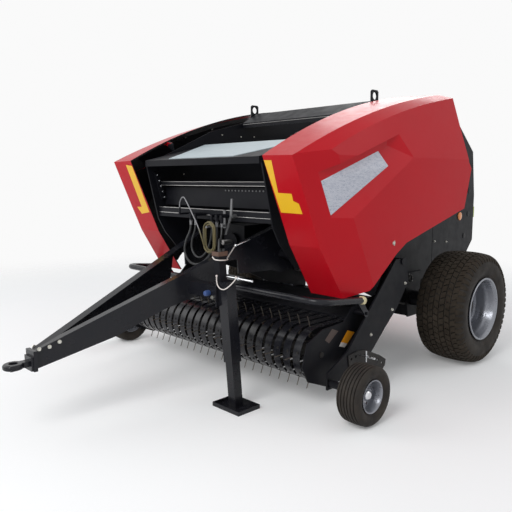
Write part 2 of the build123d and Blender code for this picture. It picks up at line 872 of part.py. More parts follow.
# the recess in the guard's side: its walls by three points each, and the way that each one faces
recess_walls = {
    "floor": ([(977, -1545, 1182), (978, -1560, 1480), (1016, -935, 1500)], (1, 0, 0)),
    "ramp": ([(977, -1545, 1182), (1020, -1380, 1172), (1080, -815, 1545)], (0, 0, 1)),
    "top": ([(1020, -1560, 1480), (1041, -935, 1692), (920, -935, 1692)], (0, 0, -1)),
    "end": ([(1041, -935, 1692), (1080, -815, 1545), (1010, -1036, 1488)], (0, -1, 0)),
}


def facet(points, inset, faces=(1, 0, 0)):
    """Plane through three points, facing the given way, moved back by inset."""
    p, q, r = (Vector(x, axle_y + y, z) for x, y, z in points)
    normal = (q - p).cross(r - p)
    if normal.dot(Vector(*faces)) < 0:
        normal = normal * -1
    return Plane(origin=p, z_dir=normal).offset(-inset)


def recess_block(inset):
    """The space of the recess, grown on its wall side by inset."""
    with BuildPart() as block:
        with BuildSketch(side(fold_x)):
            with Locations((-1200, 1450)):
                Rectangle(1100, 800)
        extrude(amount=past_x + 100 - fold_x)
        for points, faces in recess_walls.values():
            split(bisect_by=facet(points, inset, faces), keep=Keep.TOP)
    return block


def guard_section(top, inset, grow):
    """Closed section: the top arc lowered by inset, the open edges pushed out by grow."""
    lowered = [(y, z - inset) for y, z in top]
    lowered[0] = (top[0][0] + inset, top[0][1] - inset)
    rear = [(y + grow, z) for y, z in guard_rear[:3]] + [(y + grow, z - grow) for y, z in guard_rear[3:]]
    front_run = (guard_front[0][0] - guard_front[1][0]) / (guard_front[1][1] - guard_front[0][1])
    front = [(guard_front[0][0] + inset + grow * front_run, guard_front[0][1] - grow)]
    front += [(guard_front[1][0] + inset, guard_front[1][1])]
    lowered[2] = (lowered[2][0] + grow, lowered[2][1] + grow * 0.15)
    with BuildLine() as line:
        arc = ThreePointArc(*lowered)
        Polyline(arc @ 1, *rear, *front, arc @ 0)
    return line


def guard_body(inset, grow, start_x):
    with BuildPart() as body:
        for first, second, x0, x1 in (
            (top_inner, top_fold, start_x, fold_x),
            (top_fold, top_outer, fold_x, past_x),
        ):
            with BuildSketch(side(x0)) as near:
                add(guard_section(first, inset, grow).line)
                make_face()
            with BuildSketch(side(x1)) as far:
                add(guard_section(second, inset, grow).line)
                make_face()
            loft(sections=[near.sketch, far.sketch], ruled=True)
        for points in facet_points.values():
            split(bisect_by=facet(points, inset), keep=Keep.BOTTOM)
        add(recess_block(inset).part, mode=Mode.SUBTRACT)
    return body


outer_skin = guard_body(0, 0, panel_in)
inner_skin = guard_body(panel_t, 60, panel_in)
# hinge pins on the chassis and straps on the guards, on one sloping line each side
hinge_x = 668.0
hinge_line_y = -1500.0
hinge_line_z = 1670.0
hinge_slope = radians(14.8)
guard_hinge_at = [-1500.0, -500.0]


def arc_height(points, y):
    """Height at y of the upper arc through three (behind the axle, height) points."""
    (y0, z0), (y1, z1), (y2, z2) = points
    d = 2 * (y0 * (z1 - z2) + y1 * (z2 - z0) + y2 * (z0 - z1))
    s0, s1, s2 = y0**2 + z0**2, y1**2 + z1**2, y2**2 + z2**2
    cy = (s0 * (z1 - z2) + s1 * (z2 - z0) + s2 * (z0 - z1)) / d
    cz = (s0 * (y2 - y1) + s1 * (y0 - y2) + s2 * (y1 - y0)) / d
    return cz + ((y0 - cy) ** 2 + (z0 - cz) ** 2 - (y - cy) ** 2) ** 0.5


def hinge_height(y):
    return hinge_line_z + tan(hinge_slope) * (y - hinge_line_y)


guard_pin_r = 8.0


def hinge_plane(y):
    """Plane square to the guard's hinge line: local axes are across and up."""
    return Plane(
        origin=(hinge_x, axle_y + y, hinge_height(y)),
        x_dir=(1, 0, 0),
        z_dir=(0, -cos(hinge_slope), -sin(hinge_slope)),
    )


with BuildPart() as guard_hinges:
    for y in guard_hinge_at:
        with BuildSketch(hinge_plane(y)) as plate:
            with BuildLine():
                Polyline(
                    (wall_out - hinge_x, -60), (wall_out - hinge_x, 10), (0, 12), (12, 0), (0, -12),
                    close=True,
                )
            make_face()
        extrude(plate.sketch, amount=10)
        with BuildSketch(hinge_plane(y).offset(-30)) as pin:
            Circle(guard_pin_r)
        extrude(pin.sketch, amount=40)
    mirror(about=Plane.YZ)
save(guard_hinges, "guard_hinges")

with BuildPart() as guard_left:
    add(outer_skin.part)
    add(inner_skin.part, mode=Mode.SUBTRACT)
    for y in guard_hinge_at:
        reach = (arc_height(top_inner, y) - hinge_height(y)) * cos(hinge_slope) - panel_t / 2
        with BuildSketch(hinge_plane(y).offset(-28)) as strap:
            with BuildLine():
                Polyline(
                    (0, -16), (0, 16), (panel_in - hinge_x + 4, reach), (panel_in - hinge_x + 90, reach - 12),
                    close=True,
                )
            make_face()
            Circle(16)
            Circle(guard_pin_r + bearing_gap, mode=Mode.SUBTRACT)
        extrude(strap.sketch, amount=20)
save(guard_left, "guard_left")

with BuildPart() as guard_right:
    add(guard_left.part)
    mirror(about=Plane.YZ, mode=Mode.REPLACE)
save(guard_right, "guard_right")

# ---------------------------------------------------------------- tailgate cylinders and lamps

barrel_foot = (-250.0, 1400.0)
rod_eye = (500.0, 1660.0)
cylinder_x = 655.0
barrel_r = 27.0
rod_r = 15.0
cylinder_pin_r = 12.0
stroke_line = Vector(rod_eye[0] - barrel_foot[0], rod_eye[1] - barrel_foot[1])
cylinder_length = stroke_line.length


def cylinder_plane(x, start):
    """Plane square to the cylinder's line at a distance start from its foot."""
    direction = Vector(0, rod_eye[0] - barrel_foot[0], rod_eye[1] - barrel_foot[1]).normalized()
    foot = Vector(x, axle_y + barrel_foot[0], barrel_foot[1])
    return Plane(origin=foot + direction * start, x_dir=(1, 0, 0), z_dir=direction)


barrel_from, barrel_to = 18.0, 460.0
for hand, out in sides:
    x = out * cylinder_x
    with BuildPart() as barrel:
        with BuildSketch(cylinder_plane(x, barrel_from)):
            Circle(barrel_r)
        extrude(amount=barrel_to - barrel_from)
        with BuildSketch(cylinder_plane(x, barrel_from + 16)):
            Circle(rod_r + 0.5)
        extrude(amount=barrel_to, mode=Mode.SUBTRACT)
        with BuildSketch(side(x - 12)):
            with Locations(barrel_foot):
                Circle(30)
        extrude(amount=24)
        with BuildSketch(side(x - 30)):
            with Locations(barrel_foot):
                Circle(cylinder_pin_r + bearing_gap)
        extrude(amount=60, mode=Mode.SUBTRACT)
    save(barrel, f"cylinder_barrel_{hand}")
    with BuildPart() as rod:
        with BuildSketch(cylinder_plane(x, barrel_to - 330)):
            Circle(rod_r)
        extrude(amount=cylinder_length - barrel_to + 330 - 20)
        with BuildSketch(side(x - 12)):
            with Locations(rod_eye):
                Circle(27)
        extrude(amount=24)
        with BuildSketch(side(x - 12 if out > 0 else x - 22)):
            with Locations(rod_eye):
                Circle(cylinder_pin_r)
        extrude(amount=34)
    save(rod, f"cylinder_rod_{hand}")

pin_len = cylinder_x + 16 - wall_out
with BuildPart() as barrel_pins:
    discs([barrel_foot], 16, wall_out, cylinder_x - 14 - wall_out)
    discs([barrel_foot], cylinder_pin_r, wall_out, pin_len)
    mirror(about=Plane.YZ)
save(barrel_pins, "barrel_pins")
# the rod's pin stays with the rod's eye, and stops short of this boss
with BuildPart() as rod_bosses:
    discs([rod_eye], 30, wall_out, cylinder_x - rod_r - running_gap - wall_out)
    mirror(about=Plane.YZ)
save(rod_bosses, "rod_bosses")

with BuildPart() as tail_lamps:
    with BuildSketch(Plane.XZ.offset(-axle_y - skin_rear)):
        with Locations((450, 900), (-450, 900)):
            Rectangle(220, 110)
    extrude(amount=-(rear_reach + lamp_out - skin_rear))
save(tail_lamps, "tail_lamps")

# cross ribs on the longer runs of the tailgate's skin, between its side plates
rib_in = 70.0
rib_depth = 25.0
with BuildPart() as tailgate_ribs:
    for (y0, z0), (y1, z1) in zip(gate_skin[1:], gate_skin[2:]):
        run = Vector(y1 - y0, z1 - z0)
        if run.length < 250:
            continue
        along_run, out_of = run.normalized(), Vector(run.Y, -run.X).normalized()
        middle = Vector(y0, z0) + run * 0.5
        corners = [
            middle - along_run * 45,
            middle + along_run * 45,
            middle + along_run * 30 + out_of * rib_depth,
            middle - along_run * 30 + out_of * rib_depth,
        ]
        slab([(c.X, c.Y) for c in corners], -skin_in + rib_in, 2 * (skin_in - rib_in))
save(tailgate_ribs, "tailgate_ribs")

# ---------------------------------------------------------------- hoses

# elbows on the front beam: (across, which way the end points, bar radius)
elbow_out = 95.0
elbow_end = 45.0
elbow_z = 1165.0
elbows = {
    "cable": (-219, 1, 7),
    "outer_left": (-90, -1, 11),
    "inner_left": (-40, -1, 10),
    "inner_right": (135, -1, 10),
    "outer_right": (186, -1, 11),
    "parked": (235, -1, 11),
}
elbow_y = beam_face_y - elbow_out
with BuildPart() as hose_elbows:
    for x, way, radius in elbows.values():
        with BuildSketch(ahead(beam_face_y)) as bar:
            with Locations((x, elbow_z)):
                Circle(radius)
        extrude(bar.sketch, amount=elbow_out + radius)
        with BuildSketch(Plane.XY.offset(elbow_z)) as end:
            with Locations((x, axle_y + elbow_y)):
                Circle(radius)
        extrude(end.sketch, amount=way * elbow_end)
save(hose_elbows, "hose_elbows")

# the coiled cable hangs on a hook: a plate on the beam's face, with a pin
coil_x = 160.0
coil_z = (980.0, 1072.0)
coil_turn_r = 48.0
coil_tube_r = 16.0
coil_y = beam_face_y - 140
hook_r = 8.0
hook_plate = (24.0, 8.0)      # width and thickness
hook_z = coil_z[1] + coil_turn_r - coil_tube_r - hook_r - seat_gap
with BuildPart() as hose_hook:
    with BuildSketch(ahead(beam_face_y)):
        with Locations((coil_x, (hook_z - 16 + front_beam_z[1]) / 2)):
            Rectangle(hook_plate[0], front_beam_z[1] - hook_z + 16)
    extrude(amount=hook_plate[1])
    with BuildSketch(ahead(beam_face_y, hook_plate[1])):
        with Locations((coil_x, hook_z)):
            Circle(hook_r)
    extrude(amount=beam_face_y - coil_y + coil_tube_r + 10 - hook_plate[1])
save(hose_hook, "hose_hook")

with BuildPart() as cable_coil:
    with BuildLine(ahead(coil_y)) as turn_line:
        low, high = coil_z
        right = Line((coil_x + coil_turn_r, low), (coil_x + coil_turn_r, high))
        over = ThreePointArc(right @ 1, (coil_x, high + coil_turn_r), (coil_x - coil_turn_r, high))
        left = Line(over @ 1, (coil_x - coil_turn_r, low))
        ThreePointArc(left @ 1, (coil_x, low - coil_turn_r), right @ 0)
    with BuildSketch(Plane(origin=right @ 0, z_dir=right % 0)):
        Circle(coil_tube_r)
    sweep(path=turn_line.wire())
save(cable_coil, "cable_coil")

elbow_low = elbow_z - elbow_end
# each hose's route: (across, behind the axle, height)
hose_routes = {
    "hose_outer": (8.5, [
        (-90, elbow_y, elbow_low), (-90, elbow_y, 1062), (-140, -1756, 990), (-165, -1760, 905),
        (-120, -1760, 835), (-40, -1757, 815), (50, -1754, 845), (125, -1752, 910), (176, -1750, 985),
        (186, elbow_y, 1062), (186, elbow_y, elbow_low),
    ]),
    "hose_inner": (7.0, [
        (-40, elbow_y, elbow_low), (-40, elbow_y, 1066), (-88, -1745, 1000), (-100, -1745, 925),
        (-55, -1745, 872), (10, -1747, 870), (72, -1748, 915), (115, -1750, 985), (135, elbow_y, 1060),
        (135, elbow_y, elbow_low),
    ]),
    "hose_parked": (7.0, [
        (235, elbow_y, elbow_low), (235, elbow_y, 1070), (262, -1785, 1012), (340, -1850, 1006),
        (398, -1905, 1030), (428, -1935, 1045), (459, -1966, 1040), (486, -1992, 1014),
        (500, -2007, 974), (500, -2007, 929),
    ]),
    "control_cable": (4.0, [
        (126, coil_y, 946), (117, -1818, 1000), (106, -1827, 1052), (78, -1829, 1106), (34, -1826, 1160),
        (-22, -1812, 1210), (-80, -1793, 1252), (-128, -1775, 1280), (-172, -1759, 1286),
        (-208, elbow_y, 1263), (-219, elbow_y, 1236), (-219, elbow_y, elbow_z + elbow_end),
    ]),
}


def bend_radii(points):
    """The largest tangent arc at each inner point that 0.45 of the shorter run allows."""
    radii = []
    for before, here, after in zip(points, points[1:], points[2:]):
        come, go = here - before, after - here
        turn = come.get_angle(go)
        radii.append(0.45 * min(come.length, go.length) / tan(radians(turn / 2)))
    return radii


for name, (radius, route) in hose_routes.items():
    points = [Vector(x, axle_y + y, z) for x, y, z in route]
    radii = bend_radii(points)
    with BuildPart() as hose:
        with BuildLine() as line:
            FilletPolyline(*points, radius=radii)
        with BuildSketch(Plane(origin=line.line @ 0, z_dir=line.line % 0)):
            Circle(radius)
        sweep()
    save(hose, name)
    expected = pi * radius**2 * line.wire().length
    print(name, "radii", [round(r) for r in radii], "volume ratio", round(hose.part.volume / expected, 4))
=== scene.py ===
"""Round baler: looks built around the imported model. Metres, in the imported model's own frame."""

import json
from math import atan2, cos, hypot, pi, radians, sin, tau

import bmesh
import bpy
from mathutils import Matrix, Vector
from mathutils.bvhtree import BVHTree
from mathutils.geometry import tessellate_polygon


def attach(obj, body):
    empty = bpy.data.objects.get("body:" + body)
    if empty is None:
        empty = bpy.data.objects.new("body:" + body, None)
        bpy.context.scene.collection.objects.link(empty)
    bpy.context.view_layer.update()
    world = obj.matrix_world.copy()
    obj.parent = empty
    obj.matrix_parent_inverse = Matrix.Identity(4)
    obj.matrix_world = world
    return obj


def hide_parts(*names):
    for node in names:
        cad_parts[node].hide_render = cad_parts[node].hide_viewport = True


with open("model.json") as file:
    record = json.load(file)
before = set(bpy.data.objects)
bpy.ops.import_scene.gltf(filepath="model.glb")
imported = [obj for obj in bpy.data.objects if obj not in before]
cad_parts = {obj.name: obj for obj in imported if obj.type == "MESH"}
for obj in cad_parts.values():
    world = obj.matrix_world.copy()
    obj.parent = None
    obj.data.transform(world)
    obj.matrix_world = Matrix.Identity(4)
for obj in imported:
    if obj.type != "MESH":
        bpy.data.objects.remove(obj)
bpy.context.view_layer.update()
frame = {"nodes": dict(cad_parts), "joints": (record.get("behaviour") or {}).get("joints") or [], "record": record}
nodes = frame["nodes"]
joints = {joint["name"]: joint for joint in frame["joints"]}
AXLE = joints["wheel_left_spin"]["pos_m"][1]
# each side's name, and the way outward on it along X
SIDES = (("left", 1), ("right", -1))
scene = bpy.context.scene


def at(x, y, z):
    """A point from its distance behind the axle."""
    return Vector((x, AXLE + y, z))


# ---------------------------------------------------------------- shader nodes


class Nodes:
    """A node tree, with short names for the few nodes that this scene needs."""

    def __init__(self, owner):
        owner.use_nodes = True
        self.tree = owner.node_tree

    def put(self, socket, value):
        """Links another node's output into a socket, or sets a plain value or colour there."""
        if isinstance(value, bpy.types.NodeSocket):
            self.tree.links.new(value, socket)
        elif socket.type == "RGBA":
            socket.default_value = (*value, 1.0)
        else:
            socket.default_value = value

    def new(self, kind, output, inputs, **settings):
        """Makes a node and returns its output."""
        node = self.tree.nodes.new("ShaderNode" + kind)
        for name, value in settings.items():
            setattr(node, name, value)
        for name, value in inputs.items():
            self.put(node.inputs[name], value)
        return node.outputs[output]

    def calc(self, operation, first, second):
        return self.new("Math", "Value", {0: first, 1: second}, operation=operation)

    def blend(self, share, first, second):
        """One shader turning into another."""
        return self.new("MixShader", "Shader", {"Fac": share, 1: first, 2: second})

    def seen(self):
        """One for rays of the eye, of gloss and through glass, nought for rays of light."""
        path = self.tree.nodes.new("ShaderNodeLightPath")
        eye, gloss, glass = (path.outputs[f"Is {ray} Ray"] for ray in ("Camera", "Glossy", "Transmission"))
        return self.calc("MAXIMUM", self.calc("MAXIMUM", eye, gloss), glass)

    def span(self, value, low, high, kind="LINEAR"):
        """A value mapped from low..high to 0..1."""
        inputs = {"From Min": low, "From Max": high, "Value": value}
        return self.new("MapRange", "Result", inputs, interpolation_type=kind)


class Finish(Nodes):
    """A material whose patterns lie in the object's own coordinates."""

    def __init__(self, name):
        self.material = bpy.data.materials.new(name)
        super().__init__(self.material)
        self.shader = self.tree.nodes["Principled BSDF"]
        texture = self.tree.nodes.new("ShaderNodeTexCoord")
        self.place, self.normal = texture.outputs["Object"], texture.outputs["Normal"]

    def give(self, inputs):
        """Sets the shader's inputs and returns the material."""
        for name, value in inputs.items():
            self.put(self.shader.inputs[name], value)
        return self.material

    def noise(self, scale, detail=4.0, rough=0.55, stretch=(1.0, 1.0, 1.0)):
        place = self.place
        if stretch != (1.0, 1.0, 1.0):
            place = self.new("Mapping", "Vector", {"Scale": stretch, "Vector": place})
        inputs = {"Scale": scale, "Detail": detail, "Roughness": rough, "Vector": place}
        return self.new("TexNoise", "Fac", inputs)

    def ramp(self, value, stops):
        node = self.tree.nodes.new("ShaderNodeValToRGB")
        elements = node.color_ramp.elements
        for element, (position, colour) in zip(elements, stops):
            element.position = position
            shade = colour if isinstance(colour, tuple) else (colour,) * 3
            element.color = (*shade, 1.0)
        self.put(node.inputs["Fac"], value)
        return node.outputs["Color"]

    def drift(self, scale, low, high, detail=4.0):
        """A value that drifts between low and high."""
        return self.ramp(self.noise(scale, detail), [(0.3, low), (0.7, high)])

    def mix(self, share, first, second):
        return self.new("Mix", "Result", {"Factor": share, "A": first, "B": second}, data_type="RGBA")

    def along(self, axis, vector):
        """A vector's part along X, Y or Z."""
        return self.new("SeparateXYZ", axis, {"Vector": vector})

    def bump(self, scale, detail, strength, distance):
        height = self.noise(scale, detail)
        inputs = {"Strength": strength, "Distance": distance, "Height": height}
        self.give({"Normal": self.new("Bump", "Normal", inputs)})


# ---------------------------------------------------------------- camera, lamps, floor


def make_camera():
    """The photograph's view, from ahead of the machine and to its left."""
    camera = bpy.data.objects.new("camera", bpy.data.cameras.new("camera"))
    scene.collection.objects.link(camera)
    camera.data.sensor_width = 36.0
    camera.data.lens = 40.66
    turn, tilt, roll = (radians(a) for a in (45.674, 7.659, -0.153))
    ahead = Vector((-sin(turn) * cos(tilt), cos(turn) * cos(tilt), -sin(tilt)))
    level = Vector((cos(turn), sin(turn), 0.0))
    upward = level.cross(ahead)
    right = cos(roll) * level + sin(roll) * upward
    upright = -sin(roll) * level + cos(roll) * upward
    rotation = Matrix((right, upright, -ahead)).transposed().to_4x4()
    camera.matrix_world = Matrix.Translation(at(3.1033, -4.2390, 1.4130)) @ rotation
    scene.camera = camera
    scene.view_settings.view_transform = "Standard"


def make_world():
    """An even sky for light; the backdrop's white for what the eye, gloss and glass see."""
    scene.world = bpy.data.worlds.new("studio")
    n = Nodes(scene.world)
    sky = n.tree.nodes["Background"]
    n.put(sky.inputs["Color"], (0.94, 0.97, 1.0))
    n.put(sky.inputs["Strength"], 0.5)
    white = n.new("Background", "Background", {"Color": (0.955, 0.955, 0.955)})
    shown = n.blend(n.seen(), sky.outputs["Background"], white)
    n.put(n.tree.nodes["World Output"].inputs["Surface"], shown)


def area_lamp(name, place, target, size, power):
    data = bpy.data.lights.new(name, "AREA")
    data.shape = "DISK"
    data.size = size
    data.energy = power
    lamp = bpy.data.objects.new(name, data)
    lamp.location = place
    lamp.rotation_mode = "QUATERNION"
    lamp.rotation_quaternion = (Vector(target) - Vector(place)).to_track_quat("-Z", "Y")
    scene.collection.objects.link(lamp)


def make_floor():
    """A pale floor that takes the shadow and fades into the backdrop, so that no horizon shows."""
    near, far, reach, glow = 3.4, 7.0, 12.0, 0.12
    mesh = bpy.data.meshes.new("floor")
    corners = [(-reach, -reach, 0), (reach, -reach, 0), (reach, reach, 0), (-reach, reach, 0)]
    mesh.from_pydata(corners, [], [(0, 1, 2, 3)])
    floor = bpy.data.objects.new("floor", mesh)
    scene.collection.objects.link(floor)
    n = Finish("pale_floor")
    n.give({
        "Base Color": (0.88, 0.88, 0.88), "Roughness": 0.95, "Specular IOR Level": 0.0,
        "Emission Color": (1.0, 1.0, 1.0), "Emission Strength": n.calc("MULTIPLY", n.seen(), glow),
    })
    away = n.new("VectorMath", "Value", {0: n.place}, operation="LENGTH")
    clear = n.new("BsdfTransparent", "BSDF", {})
    shown = n.blend(n.span(away, near, far, "SMOOTHSTEP"), n.shader.outputs["BSDF"], clear)
    n.put(n.tree.nodes["Material Output"].inputs["Surface"], shown)
    mesh.materials.append(n.material)


make_camera()
make_world()
area_lamp("lamp_key", (2.0, -6.5, 5.5), (0, 0, 0.8), 4.0, 300)
area_lamp("lamp_fill", (-5.0, -5.0, 4.5), (0, 0, 0.8), 5.0, 120)
area_lamp("lamp_back", (-3.0, 6.0, 5.5), (0, 0, 1.0), 4.0, 120)
area_lamp("lamp_side", (6.0, 3.0, 4.0), (0, 0.3, 0.8), 4.0, 45)
make_floor()

# ---------------------------------------------------------------- materials

# the brown of dust, and the black that paints shade on the guards' inner faces
DUST, INNER_SHADE = (0.13, 0.105, 0.08), (0.006, 0.006, 0.008)
DUST_LOW, DUST_HIGH = 0.1, 1.5


def surface(
    name, colour, rough, coat=0.0, dust=0.0, mottle=0.12, metal=0.0, grain=260.0, relief=0.05, wear=None,
    shine=0.5, shade_side=0,
):
    """A painted or plain surface: colour that drifts, dust that gathers low, and a fine relief.

    A shade side of 1 or -1 paints shade: it makes the faces black that look to that side along X, as if in shadow.
    """
    n = Finish(name)
    darker = tuple(c * (1 - mottle) for c in colour)
    lighter = tuple(min(1.0, c * (1 + mottle)) for c in colour)
    base = n.mix(n.noise(3.2, 6.0), darker, lighter)
    if wear:
        base = n.mix(n.ramp(n.noise(38.0, 8.0, 0.7), [(0.62, 0.0), (0.72, 1.0)]), base, wear)
    if dust:
        low = n.span(n.along("Z", n.place), DUST_HIGH, DUST_LOW)
        patches = n.ramp(n.noise(9.0, 8.0, 0.65), [(0.35, 0.0), (0.75, 1.0)])
        share = n.calc("MULTIPLY", n.calc("MULTIPLY", patches, low), dust)
        base = n.mix(share, base, DUST)
    # painted shade: faces that look to one side along X turn black
    if shade_side:
        inside = n.span(n.along("X", n.normal), 0.25 * shade_side, 0.35 * shade_side)
        base = n.mix(inside, base, INNER_SHADE)
    n.bump(grain, 3.0, relief, 0.001)
    return n.give({
        "Base Color": base, "Roughness": n.drift(14.0, *rough, 6.0), "Metallic": metal,
        "Specular IOR Level": shine, "Coat Weight": coat, "Coat Roughness": 0.12, "Coat IOR": 1.25,
    })


def plate_film():
    """A pale blank sign: white film with a fine grey-blue speckle, like a worn print."""
    n = Finish("plate_film")
    speck = n.ramp(n.noise(210.0, 5.0, 0.75), [(0.42, (0.62, 0.63, 0.68)), (0.58, (0.23, 0.26, 0.36))])
    bands = n.ramp(n.noise(26.0, 3.0, 0.6, (1.0, 1.0, 5.0)), [(0.38, 0.0), (0.62, 1.0)])
    n.bump(210.0, 3.0, 0.06, 0.0005)
    base = n.mix(bands, speck, (0.55, 0.56, 0.62))
    return n.give({"Base Color": base, "Roughness": n.drift(60.0, 0.28, 0.42)})


def cable_sheath():
    """Olive in the coil's turns, and light grey on the way to the coil: a painted highlight of the thin lead's
    shine.
    """
    n = Finish("cable_sheath")
    olive = n.mix(n.noise(30.0, 5.0), (0.085, 0.07, 0.028), (0.20, 0.165, 0.07))
    # painted highlight: the lead's grey stands for the shine on the thin cable
    lead_shine = n.mix(n.noise(30.0, 5.0), (0.17, 0.17, 0.18), (0.32, 0.32, 0.33))
    base = n.mix(n.span(n.along("X", n.place), 0.085, 0.11), lead_shine, olive)
    n.bump(900.0, 2.0, 0.12, 0.0004)
    return n.give({"Base Color": base, "Roughness": n.drift(40.0, 0.34, 0.5)})


RED = {
    "colour": (0.47, 0.0025, 0.010), "rough": (0.32, 0.42), "coat": 0.2, "dust": 0.05, "mottle": 0.07,
    "relief": 0.02, "shine": 0.15,
}
red = surface("red_gloss", **RED)
# each guard's inner faces get painted shade
guard_red = {hand: surface(f"guard_red_{hand}", shade_side=-out, **RED) for hand, out in SIDES}
black = surface("black_satin", (0.0062, 0.0066, 0.0092), (0.34, 0.5), dust=0.05, relief=0.12, shine=0.12)
black_worn = surface(
    "black_worn", (0.012, 0.0118, 0.0125), (0.36, 0.58), dust=0.2, relief=0.2, wear=(0.07, 0.056, 0.043),
    shine=0.2,
)
black_gloss = surface("black_gloss", (0.008, 0.0085, 0.012), (0.18, 0.30), dust=0.05, relief=0.1, shine=0.28)
grey = surface("cover_grey", (0.44, 0.51, 0.54), (0.35, 0.5), dust=0.05, mottle=0.06)
steel = surface("plain_steel", (0.42, 0.41, 0.40), (0.28, 0.45), metal=0.9, mottle=0.2, relief=0.15)
chrome = surface("bright_steel", (0.70, 0.71, 0.73), (0.10, 0.2), metal=1.0, mottle=0.06)
tine_wire = surface("tine_wire", (0.115, 0.098, 0.080), (0.38, 0.55), metal=0.55, mottle=0.3, relief=0.1)
zinc = surface("zinc_bolts", (0.58, 0.57, 0.52), (0.22, 0.4), metal=0.85, mottle=0.15)
dark_zinc = surface("dark_zinc", (0.17, 0.17, 0.175), (0.3, 0.5), metal=0.5, mottle=0.25)
rust = surface("rusty_steel", (0.115, 0.062, 0.042), (0.55, 0.8), mottle=0.45, relief=0.4, grain=180.0)
silver = surface("rim_silver", (0.27, 0.28, 0.31), (0.22, 0.38), metal=0.7, dust=0.12, mottle=0.12)
rubber = surface(
    "tyre_rubber", (0.0185, 0.0160, 0.0145), (0.66, 0.86), dust=0.25, mottle=0.3, relief=0.5, shine=0.25,
)
tread = surface(
    "tread_rubber", (0.022, 0.0165, 0.0115), (0.76, 0.94), dust=0.3, mottle=0.35, relief=0.6, shine=0.2,
)
hose = surface("hose_rubber", (0.020, 0.021, 0.022), (0.36, 0.52), mottle=0.2, relief=0.25, grain=700.0)
yellow = surface("yellow_film", (0.86, 0.50, 0.012), (0.30, 0.4), mottle=0.05, dust=0.03)
orange_film = surface("orange_film", (0.84, 0.32, 0.01), (0.30, 0.4), mottle=0.06)
white_film = surface("white_film", (0.74, 0.68, 0.64), (0.30, 0.4), mottle=0.06)
brown_film = surface("brown_film", (0.055, 0.030, 0.022), (0.30, 0.42), mottle=0.25)
cream = surface("cream_cap", (0.66, 0.58, 0.34), (0.4, 0.55), mottle=0.08)
blue_cap = surface("blue_cap", (0.035, 0.075, 0.22), (0.35, 0.5), mottle=0.1)
lamp_red = surface("lamp_red", (0.40, 0.008, 0.008), (0.08, 0.15), coat=0.6, mottle=0.05)
lamp_clear = surface("lamp_clear", (0.62, 0.62, 0.60), (0.08, 0.15), coat=0.6, mottle=0.05)
orange = surface("reflector_orange", (0.80, 0.24, 0.02), (0.1, 0.2), coat=0.5, mottle=0.05)
lime = surface("reflector_lime", (0.42, 0.50, 0.06), (0.15, 0.25), coat=0.5, mottle=0.05)
plate = plate_film()
sheath = cable_sheath()

finish_of = {
    "black_paint": black,
    "red_paint": red,
    "grey_paint": grey,
    "steel": steel,
    "tyre": rubber,
    "rim_silver": silver,
    "lamp_plastic": lamp_red,
    "rubber": hose,
    "cable_olive": sheath,
    "cable_grey": sheath,
}
record_slot = {row["node"]: row["material_slot"] for row in frame["record"]["subparts"]}


def dress(obj, material):
    obj.data.materials.clear()
    obj.data.materials.append(material)


def soften(obj, width, angle=30):
    """Rounded edges that catch the light."""
    bevel = obj.modifiers.new("edges", "BEVEL")
    bevel.width = width
    bevel.segments = 2
    bevel.limit_method = "ANGLE"
    bevel.angle_limit = radians(angle)
    bevel.harden_normals = True


def dress_nodes():
    """Gives the CAD's nodes their materials, and rounded edges where they show."""
    for name, node in nodes.items():
        dress(node, finish_of[record_slot[name]])
    for hand, _ in SIDES:
        dress(nodes[f"guard_{hand}"], guard_red[hand])
    for name in ("control_lever", "hose_hook"):
        dress(nodes[name], dark_zinc)
    dress(nodes["hose_elbows"], black)
    for name in ("drawbar", "hitch_eye", "jack_sleeve", "jack_leg", "jack_arm", "stripper_bands",
                 "wind_guard"):
        dress(nodes[name], black_gloss)
    for name in ("drawbar", "cross_beam", "front_beam", "front_deck", "front_tube", "jack_leg", "jack_sleeve",
                 "jack_arm", "hose_holder", "axle_frame", "gauge_arms", "pickup_frame", "top_bridge"):
        soften(nodes[name], 0.002)
    for name in ("guard_left", "guard_right", "front_cover"):
        soften(nodes[name], 0.0015, 20)


dress_nodes()

# ---------------------------------------------------------------- cords


def cord_curve(name, route, diameter, material, replaced):
    """A hose or cable on one open smooth spline through the route's control points."""
    data = bpy.data.curves.new(name, "CURVE")
    data.dimensions = "3D"
    data.bevel_depth = diameter / 2
    data.bevel_resolution = 4
    data.resolution_u = 8
    data.use_fill_caps = True
    spline = data.splines.new("NURBS")
    spline.points.add(len(route) - 1)
    for point, place in zip(spline.points, route):
        point.co = (*place, 1.0)
    spline.order_u = 3
    spline.use_endpoint_u = True
    data.materials.append(material)
    obj = bpy.data.objects.new(name, data)
    scene.collection.objects.link(obj)
    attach(obj, "chassis")
    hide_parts(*replaced)
    return obj


ELBOW_Y, ELBOW_LOW, ELBOW_HIGH = -1.750, 1.120, 1.210

